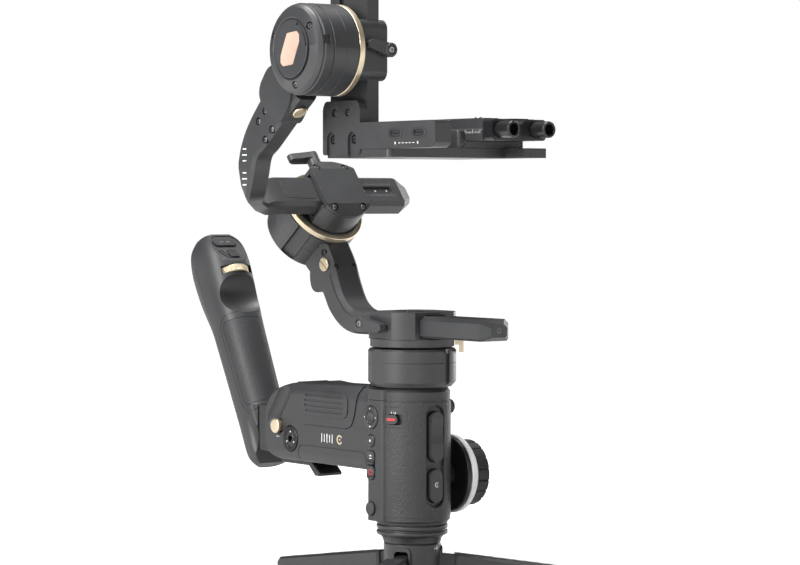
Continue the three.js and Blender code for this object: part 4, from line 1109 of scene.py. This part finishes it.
def roll_arm():
    pitch = roll_frame()
    half_height, back, front = 14, 0.5, ROLL_BAR_FRONT
    middle, half = (back + front) / 2, (front - back) / 2
    across = pitch.to_3x3() @ Vector((0, 1, 0))
    out = pitch.to_3x3() @ Vector((0, 0, 1))
    centre = pivot("roll") + out * middle
    end = high("roll_arm").x

    def straight(x, shrink):
        return [(x, centre.y, centre.z), tuple(across * (half_height - shrink)),
            tuple(out * (half - 0.6 * shrink))]

    bend = [straight(-54, 0), [(-70, 97, 285.4), (-3, 9, 9.8), (2.6, -5.4, 5)],
        [(-87, 89, 284.5), (-5.4, 8.6, 8.8), (6, -4.4, 3.6)],
        [(-97.5, 77.5, 287), (-2.4, 9.6, 6.6), (8.4, -1.6, 1.4)],
        [(-102, 66, 292), (-0.8, 10.2, 4.6), (8.8, -0.4, 0)],
        [(-103, 59, 303), (0, 10.6, 1), (9, 0, 0)], [(-103, 54, 319), (0, 10, 4.4), (9, 0, 0)],
        [(-103, 43, 332), (0, 10, 9.6), (9, 0, 0)], [(-103, 20, 353), (0, 10.2, 12.4), (9, 0, 0)],
        [(-103, 0, 369), (0, 10.6, 13.4), (9, 0, 0)],]
    bar = swept_bar([straight(end, 6), straight(end - 10, 0), *bend], 2.4, 3.0, 7)
    lobe = prism("x", low("roll_arm").x, -95, corner_rounded([(26, 379), (35.5, 367), (36, 358),
        (26, 347), (13, 339), (8.5, 340), (-3, 353), (-6, 372), (10, 385)], 4))
    facet = prism("y", -200, 200, [*ARM_FACET, (-200, 330), (-200, 250)], turn(-37.5, "Z"))
    join(bar, lobe)
    cut(bar, disc(33.3, -130, -60, tilt_frame()))
    cut(bar, facet)
    slot = prism("z", front - 1.6, front + 3, rounded(-19, -3.2, 52, 3.2, 2.2), pitch)
    cut(bar, slot)
    places = [(31.2, 348.4), (39.6, 341.1), (22.7, 334.8), (31.2, 327.6)]
    spots = [on_left(-112, y, z) for y, z in places]
    cut(bar, counterbores(spots, 1.9))
    dress(bar, "roll_arm_casting", "roll_arm", METAL, "roll_arm", edge=0.5, segments=3, angle=13)
    screws("roll_arm_screws", "roll_arm", spots, 1.9, STEEL)


def roll_arm_marks():
    pitch = roll_frame()
    front = ROLL_BAR_FRONT
    ticks = (scale_marks(22.5, 1.5, 21, 0.32, -4.4, -2.6, -1.5)
        + scale_marks(22.5, 1.5, 21, 0.32, 4.4, 2.6, 1.5))
    print_on("roll_arm_scale", "roll_arm", GREY_PAINT, pitch @ shift(0, 0, front), ticks, 0.06)
    dots = [circle(x, 0, 0.7, 16) for x in (26, 37, 48)]
    print_on("roll_arm_scale_dots", "roll_arm", PAINT, pitch @ shift(0, 0, front - 1.6), dots, 0.1)
    pad = prism("z", front - 0.3, front + 0.25, corner_rounded([(-52, -7.5), (-24, -9), (-24, 9),
        (-52, 9)], 3), pitch)
    dress(pad, "roll_arm_pad", "roll_arm", RUBBER, edge=0.2)
    bars = on_left(-112, 57.2, 308)
    print_on("roll_arm_mark", "roll_arm", PAINT, bars,
        [pill(0, 4.4 * k, 6.5 - 1.6 * (k % 2), 0.9) for k in range(-3, 4)], 0.06)
    normal = JOINTS["tilt_lock_turn"]["axis"]
    lock_disc("tilt", on_face(pivot("tilt_lock_turn"), normal, (1, 0, 0)))


# ---------- tilt axis
def tilt_frame():
    return along_x(pivot("tilt").y, pivot("tilt").z)


def tilt_motor():
    place = tilt_frame()
    start = low("tilt_motor_housing").x
    end = high("tilt_motor_housing").x
    radius = high("tilt_ring").z - pivot("tilt").z
    barrel = lathe([(0, start), (radius - 1.2, start), (radius - 0.2, start + 1),
        (radius - 0.2, -110.6), (radius - 0.75, -110.3), (radius - 0.75, -109.7), (radius, -109.4),
        (radius, -99.2), (radius - 0.3, -99.0), (radius, -98.8), (radius, end - 0.8),
        (radius - 0.8, end), (0, end)], place, 160)
    notches = [block((-36, -3.2, start - 1), (-31.2, 3.2, start + 5), place @ turn(angle, "Z"))
        for angle in (-40, 80, 200)]
    flats = [prism("z", start + 8.6, end + 1, [(-36, -9), (-32.5, -8), (-32.5, 8), (-36, 9)],
        place @ turn(angle, "Z")) for angle in (-40, 80, 200)]
    cut(barrel, *notches)
    cut(barrel, *flats)
    dress(barrel, "tilt_motor_shell", "roll_arm", METAL, "tilt_motor_housing", edge=0.4,
        segments=3, angle=18)
    # A near-black disc at the barrel's end, in the gap before the ring: painted shade.
    gap_shade = disc(radius - 1.6, end - 1.0, end + 0.15, place, 0.2, 160)
    dress(gap_shade, "tilt_gap_shade", "roll_arm", PAINTED_SHADE, edge=0)


def tilt_cap():
    place = tilt_frame()
    outer = low("tilt_motor_cap").x
    cap = lathe([(0, outer), (20.2, outer), (20.6, outer + 0.35), (20.6, -123.2), (21.4, -123.2),
        (21.9, -124.2), (22.6, -124.5), (29.8, -122.2), (31.6, -120.2), (32, -119.4), (32, -118.3),
        (0, -118.3)], place, 160)
    steps = [prism("z", outer - 1, -124.3, band(0, 0, 24, 18.4, start, start + 62, 20), place)
        for start in (24, 204)]
    cut(cap, *steps)
    slope = math.degrees(math.atan2(2.3, 7.2))
    spots = [place @ turn(angle, "Z") @ shift(26, 0, -123.45) @ turn(-slope, "Y") @ turn(180, "X")
        for angle in (113, 233, 353)]
    cut(cap, counterbores(spots, 1.9))
    dress(cap, "tilt_cap_shell", "roll_arm", METAL, "tilt_motor_cap", edge=0.3, segments=3, angle=18)
    screws("tilt_cap_screws", "roll_arm", spots, 1.9, DARK_STEEL)
    badge = on_left(outer, pivot("tilt").y, pivot("tilt").z)
    hexagon = corner_rounded([(-8.4, -12.2), (3.6, -11.2), (11.4, 4.6), (11.4, 9.6), (8.4, 12.2),
        (-3.6, 11.2), (-11.4, -4.6), (-11.4, -9.6)], 0.8)
    print_on("tilt_badge", "roll_arm", INLAY, badge, [hexagon], 0.14)


def tilt_clamp():
    z = pivot("tilt").z
    radius = high("tilt_ring").z - z
    ring = lathe([(0, -87.3), (radius - 0.5, -87.3), (radius, -86.8), (radius, -83.1),
        (radius - 0.5, -82.6), (0, -82.6)], tilt_frame(), 160)
    dress(ring, "tilt_ring_trim", "tilt_rotor", GOLD, "tilt_ring", edge=0.2)
    lo, hi = low("tilt_clamp"), high("tilt_clamp")
    body = prism("x", lo.x, hi.x, rounded(lo.y, lo.z, hi.y, hi.z, 7, 8))
    slot = block((-73.3, -42.3, 300), (-62.7, 3.3, 500))
    cut(body, slot)
    spots = [on_face((hi.x, y_at, z_at), (1, 0, 0)) for y_at in (-38, -2) for z_at in (z - 14, z + 14)]
    cut(body, counterbores(spots, 2.0))
    dress(body, "tilt_clamp_casting", "tilt_rotor", METAL, "tilt_clamp", edge=0.7, segments=3)
    screws("tilt_clamp_screws", "tilt_rotor", spots, 2.0)
    at = pivot("tilt_clamp_open")
    lever("tilt", shift(at.x, lo.y - 0.3, at.z) @ turn(90, "X"), 20.5, 164)


# ---------- camera bracket and tray
def camera_bracket():
    lo, hi = low("camera_bracket"), high("camera_bracket")
    rail = prism("x", -73, -63, rounded(-42, 322, 3, hi.z, 3, 6))
    knee = prism("x", lo.x, -63, corner_rounded([(-42, 316), (3, 316), (3, 350), (0, 355), (-39, 355),
        (-42, 350)], 2.5))
    beam = prism("x", lo.x, -66, corner_rounded([(-129, 322.5), (-125, 320), (-38, 320), (-38, 339),
        (-128, 339), (-129, 338)], 1.4))
    plate_low = low("camera_bracket").z
    plate = prism("z", plate_low, plate_low + 7, rounded(-79, -75, 45, 1, 4))
    lip = prism("z", plate_low, plate_low + 7, corner_rounded([(26, -98), (29, -101), (45, -101),
        (45, -70), (26, -70)], 0.8))
    join(rail, knee)
    join(rail, beam)
    join(rail, plate)
    join(rail, lip)
    groove = block((-74, -14, 360), (-70, -8, 446))
    front_groove = prism("x", -64.2, -60, rounded(-24, 362, -15, 446, 2))
    pockets = [prism("x", lo.x - 1, lo.x + 2.2, rounded(y - 5, 310, y + 5, 332.5, 4.9))
        for y in (-32.5, -7)]
    cut(rail, groove, front_groove)
    cut(rail, *pockets)
    small = [on_left(lo.x, y, 346.5) for y in (-27, -11)]
    big = [on_left(lo.x + 2.2, y, 327.3) for y in (-32.5, -7)]
    ports = [on_left(lo.x, y, 330.5) for y in (-83, -110)]
    cut(rail, counterbores(small, 1.9), counterbores(big, 2.3),
        *[prism("z", -1.6, 2, pill(0, 0, 12.2, 4.8), port) for port in ports])
    frames = [cut(prism("z", -0.35, 2, pill(0.8, 0, 16.5, 7.4), p),
        prism("z", -2, 3, pill(0.8, 0, 15.7, 6.6), p)) for p in ports]
    cut(rail, *frames)
    dress(rail, "camera_bracket_casting", "camera_bracket", METAL, "camera_bracket",
        edge=0.5, segments=3)
    screws("bracket_small_screws", "camera_bracket", small, 1.9)
    screws("bracket_large_screws", "camera_bracket", big, 2.3)
    shells = [cut(prism("z", -1.5, -0.2, pill(0, 0, 11.2, 3.9), p),
        prism("z", -1.2, 1, pill(0, 0, 10.0, 2.7), p)) for p in ports]
    dress(group(shells), "port_shells", "camera_bracket", DARK_STEEL, edge=0.1)
    tongues = [block((-3.6, -0.4, -1.6), (3.6, 0.4, -0.4), p) for p in ports]
    dress(group(tongues), "port_tongues", "camera_bracket", BLACK, edge=0)
    label = on_left(lo.x, -96.5, 323.6)
    marks = [rounded(-13.5, -0.9, -12.3, 0.9, 0.3, 3), rounded(12.3, -0.9, 13.5, 0.9, 0.3, 3)]
    marks += [pill(x, 0, 2.2, 0.5, 6) for x in (-8, -4, 0, 4, 8)]
    print_on("port_marks", "camera_bracket", PAINT, label, marks, 0.05)
    inner = on_face((-63, -19.5, 0), (1, 0, 0))
    upright = scale_marks(366, 4, 20, 0.4, 6.5, 3, 1.8)
    print_on("rail_scale", "camera_bracket", GREY_PAINT, inner,
        [[(b, a) for a, b in mark] for mark in upright], 0.05)


def rods():
    """The X of both support rods, and their Z."""
    boxes = [(low(f"support_rod_{i}"), high(f"support_rod_{i}")) for i in (1, 2)]
    return [(lo.x + hi.x) / 2 for lo, hi in boxes], (boxes[0][0].z + boxes[0][1].z) / 2


def slide_base():
    lo, hi = low("slide_base"), high("slide_base")
    plate_lo, plate_hi = low("quick_release_plate"), high("quick_release_plate")
    gap = 0.3
    tray = prism("z", lo.z, hi.z, rounded(lo.x, lo.y, hi.x, hi.y, 2.5))
    cut(tray, prism("y", -140, 20, [(plate_lo.x - gap, 326), (plate_hi.x + gap, 326),
        (plate_hi.x + gap, 340), (plate_lo.x - gap, 340)]))
    grooves = [block((lo.x - 1, lo.y - 1, 328.4), (lo.x + 0.35, hi.y + 1, 328.9)),
        block((lo.x + 1.8, lo.y - 1, 332.6), (lo.x + 2.4, hi.y + 1, 334))]
    cut(tray, *grooves)
    front = [on_face((x, lo.y, 323.8), (0, -1, 0)) for x in (-12, 42)]
    cut(tray, counterbores(front, 1.2))
    dress(tray, "slide_base_rail", "tray", METAL, "slide_base", edge=0.45, segments=3)
    screws("slide_base_screws", "tray", front, 1.2, DARK_STEEL, 0.1)


def camera_plate():
    plate_lo, plate_hi = low("quick_release_plate"), high("quick_release_plate")
    x0, x1 = plate_lo.x, plate_hi.x
    section = corner_rounded([(x0, plate_lo.z), (x1, plate_lo.z), (x1, 333.6), (x1 - 1.6, 335),
        (x1 - 1.6, plate_hi.z), (x0 + 1.6, plate_hi.z), (x0 + 1.6, 335), (x0, 333.6)], 0.5, 3)
    plate = prism("y", plate_lo.y, plate_hi.y, section)
    rods_x, rod_z = rods()
    bores = [disc(6.3, 38, 112, shift(x, 0, rod_z) @ turn(90, "X"), segments=64) for x in rods_x]
    slot = prism("z", 339.6, 345, pill(15, -60, 7.4, 56))
    cut(plate, *bores)
    cut(plate, slot)
    dress(plate, "quick_plate_body", "camera_plate", METAL, "quick_release_plate", edge=0.4, segments=3)
    pads = [prism("z", plate_hi.z - 0.2, plate_hi.z + 0.5, rounded(xa, -91, xb, -14, 1.5)) for xa,
        xb in ((x0 + 3, 9), (21, x1 - 3))]
    for pad, (xa, xb) in zip(pads, ((x0 + 3, 9), (21, x1 - 3))):
        cut(pad, *[block((xa - 1, y, plate_hi.z + 0.15), (xb + 1, y + 0.9, plate_hi.z + 2))
            for y in range(-88, -15, 4)])
    dress(group(pads), "quick_plate_pads", "camera_plate", RUBBER, edge=0.12)
    screw = lathe([(0, 336), (5.4, 336), (5.4, 339.0), (5.0, 339.4), (3.1, 339.4), (3.1, 343.4),
        (2.5, 344.2), (0, 344.2)], shift(15, -60, 0), 64)
    threads = [cut(disc(4, 340 + 0.8 * k, 340.35 + 0.8 * k, shift(15, -60, 0), segments=48),
        disc(2.75, 338, 346, shift(15, -60, 0), segments=48)) for k in range(4)]
    cut(screw, *threads)
    dress(screw, "camera_screw", "camera_plate", STEEL, edge=0.1)
    scale = on_left(x0, 0, 330.3)
    marks = scale_marks(41, 1.7, 31, 0.3, 1.2, 2.6, 1.4)
    print_on("quick_plate_scale", "camera_plate", PAINT, scale, marks, 0.05)


def rod_clamp():
    rods_x, rod_z = rods()
    lo, hi = low("rod_clamp"), high("rod_clamp")
    outline = corner_rounded([(lo.x, lo.z), (hi.x, lo.z), (hi.x, hi.z), (lo.x, hi.z)], 3)
    clamp = prism("y", lo.y, hi.y, outline)
    waist = disc(7, -20, 20, shift((rods_x[0] + rods_x[1]) / 2, (lo.y + hi.y) / 2, hi.z + 3.4)
        @ turn(90, "X"), segments=64)
    cut(clamp, *[disc(6.3, 90, 112, shift(x, 0, rod_z) @ turn(90, "X"), segments=64) for x in rods_x])
    cut(clamp, waist)
    dress(clamp, "rod_clamp_block", "camera_plate", BLACK, "rod_clamp", edge=0.5, segments=3)


def support_rods():
    rods_x, rod_z = rods()
    for i, x in enumerate(rods_x, 1):
        rod = lathe([(0, 40), (5.6, 40), (6, 40.4), (6, 120.2), (5.4, 121), (4.5, 121), (4.1, 120.4),
            (4.1, 112), (0, 112)], shift(x, 0, rod_z) @ turn(90, "X"), 96)
        dress(rod, f"support_rod_{i}_tube", f"rod_{i}", BLACK, f"support_rod_{i}", edge=0.12)


# ---------- studio
def set_color(socket, value):
    socket.default_value = (value, value, value, 1)


LIGHTS = [  # name, place in metres, width, height, watts
    ("key", (-1.7, -0.15, 1.1), 0.6, 1.4, 56), ("front", (-0.9, -1.6, 0.9), 0.25, 1.4, 5),
    ("rim_right", (1.4, 0.5, 0.6), 0.35, 1.5, 8), ("low_right", (1.0, -1.4, 0.4), 0.2, 1.2, 1.5),
    ("top", (0.0, 0.2, 1.7), 0.8, 0.8, 40),
]


def studio():
    ground = low("tripod_foot_1").z * MM
    bpy.ops.mesh.primitive_circle_add(vertices=96, radius=14, fill_type="NGON",
        location=(0, 0, ground - 0.0005))
    floor = bpy.context.object
    floor.name = "floor"
    material = bpy.data.materials.new("floor_white")
    material.use_nodes = True
    tree = material.node_tree
    link = tree.links.new
    shader = tree.nodes["Principled BSDF"]
    shader.inputs["Roughness"].default_value = 0.9
    shader.inputs["Specular IOR Level"].default_value = 0.1
    set_color(shader.inputs["Base Color"], 0.6)
    set_color(shader.inputs["Emission Color"], 1.0)
    # The floor glows, from none within 0.25 m of the centre to full at 1.1 m: painted light, which
    # leaves the floor darker round the object.
    where = add_node(tree, "TexCoord")
    distance = add_node(tree, "VectorMath")
    distance.operation = "LENGTH"
    link(where.outputs["Object"], distance.inputs[0])
    glow = add_node(tree, "MapRange", From_Min=0.25, From_Max=1.1, To_Min=0.0, To_Max=1.0)
    link(distance.outputs["Value"], glow.inputs["Value"])
    link(glow.outputs["Result"], shader.inputs["Emission Strength"])
    floor.data.materials.append(material)

    world = bpy.data.worlds.new("studio")
    bpy.context.scene.world = world
    world.use_nodes = True
    tree = world.node_tree
    link = tree.links.new
    background = tree.nodes["Background"]
    where = add_node(tree, "TexCoord")
    split = add_node(tree, "SeparateXYZ")
    link(where.outputs["Generated"], split.inputs[0])
    height = add_node(tree, "MapRange", From_Min=-0.1, From_Max=0.9, To_Min=0.02, To_Max=0.12)
    link(split.outputs["Z"], height.inputs["Value"])
    seen = add_node(tree, "LightPath")
    pick = add_node(tree, "Mix", B=1.0)
    link(seen.outputs["Is Camera Ray"], pick.inputs["Factor"])
    link(height.outputs["Result"], pick.inputs["A"])
    link(pick.outputs["Result"], background.inputs["Strength"])
    set_color(background.inputs["Color"], 1.0)

    middle = Vector((0, 0.02, 0.25))
    for name, at, width, tall, power in LIGHTS:
        light = bpy.data.lights.new(name, "AREA")
        light.shape = "RECTANGLE"
        light.size, light.size_y, light.energy = width, tall, power
        lamp = bpy.data.objects.new(name, light)
        bpy.context.scene.collection.objects.link(lamp)
        lamp.location = at
        lamp.rotation_euler = (middle - Vector(at)).to_track_quat("-Z", "Y").to_euler()
    bpy.context.scene.view_settings.view_transform = "Standard"


CAMERA_AT = (-1.221, -1.575, 0.2836)  # metres
CAMERA_HEADING = (0.609, 0.793)
CAMERA_DOWN = 1.77  # degrees
CAMERA_LENS = 120.15


def camera():
    """Looks along a level heading and a little down."""
    data = bpy.data.cameras.new("camera")
    data.sensor_width = 36
    data.lens = CAMERA_LENS
    view = bpy.data.objects.new("camera", data)
    bpy.context.scene.collection.objects.link(view)
    view.location = CAMERA_AT
    pitch = math.radians(CAMERA_DOWN)
    along, across = (part * math.cos(pitch) for part in CAMERA_HEADING)
    heading = Vector((along, across, -math.sin(pitch)))
    view.rotation_euler = heading.to_track_quat("-Z", "Y").to_euler()
    bpy.context.scene.camera = view


camera()
studio()
tripod_hub()
tripod_collar()
tripod_legs()
collar_marks()
handle_body()
grip_panel()
front_keys()
power_switch()
control_face()
focus_wheel()
battery_arm_shell()
battery_cover()
battery_arm_details()
accessory_port()
sling_shell()
sling_sleeve()
sling_keys()
sling_dial()
sling_trigger()
pan_motor()
pan_clamp()
pan_arm()
roll_motor()
roll_clamp()
roll_arm()
roll_arm_marks()
tilt_motor()
tilt_cap()
tilt_clamp()
camera_bracket()
slide_base()
camera_plate()
rod_clamp()
support_rods()
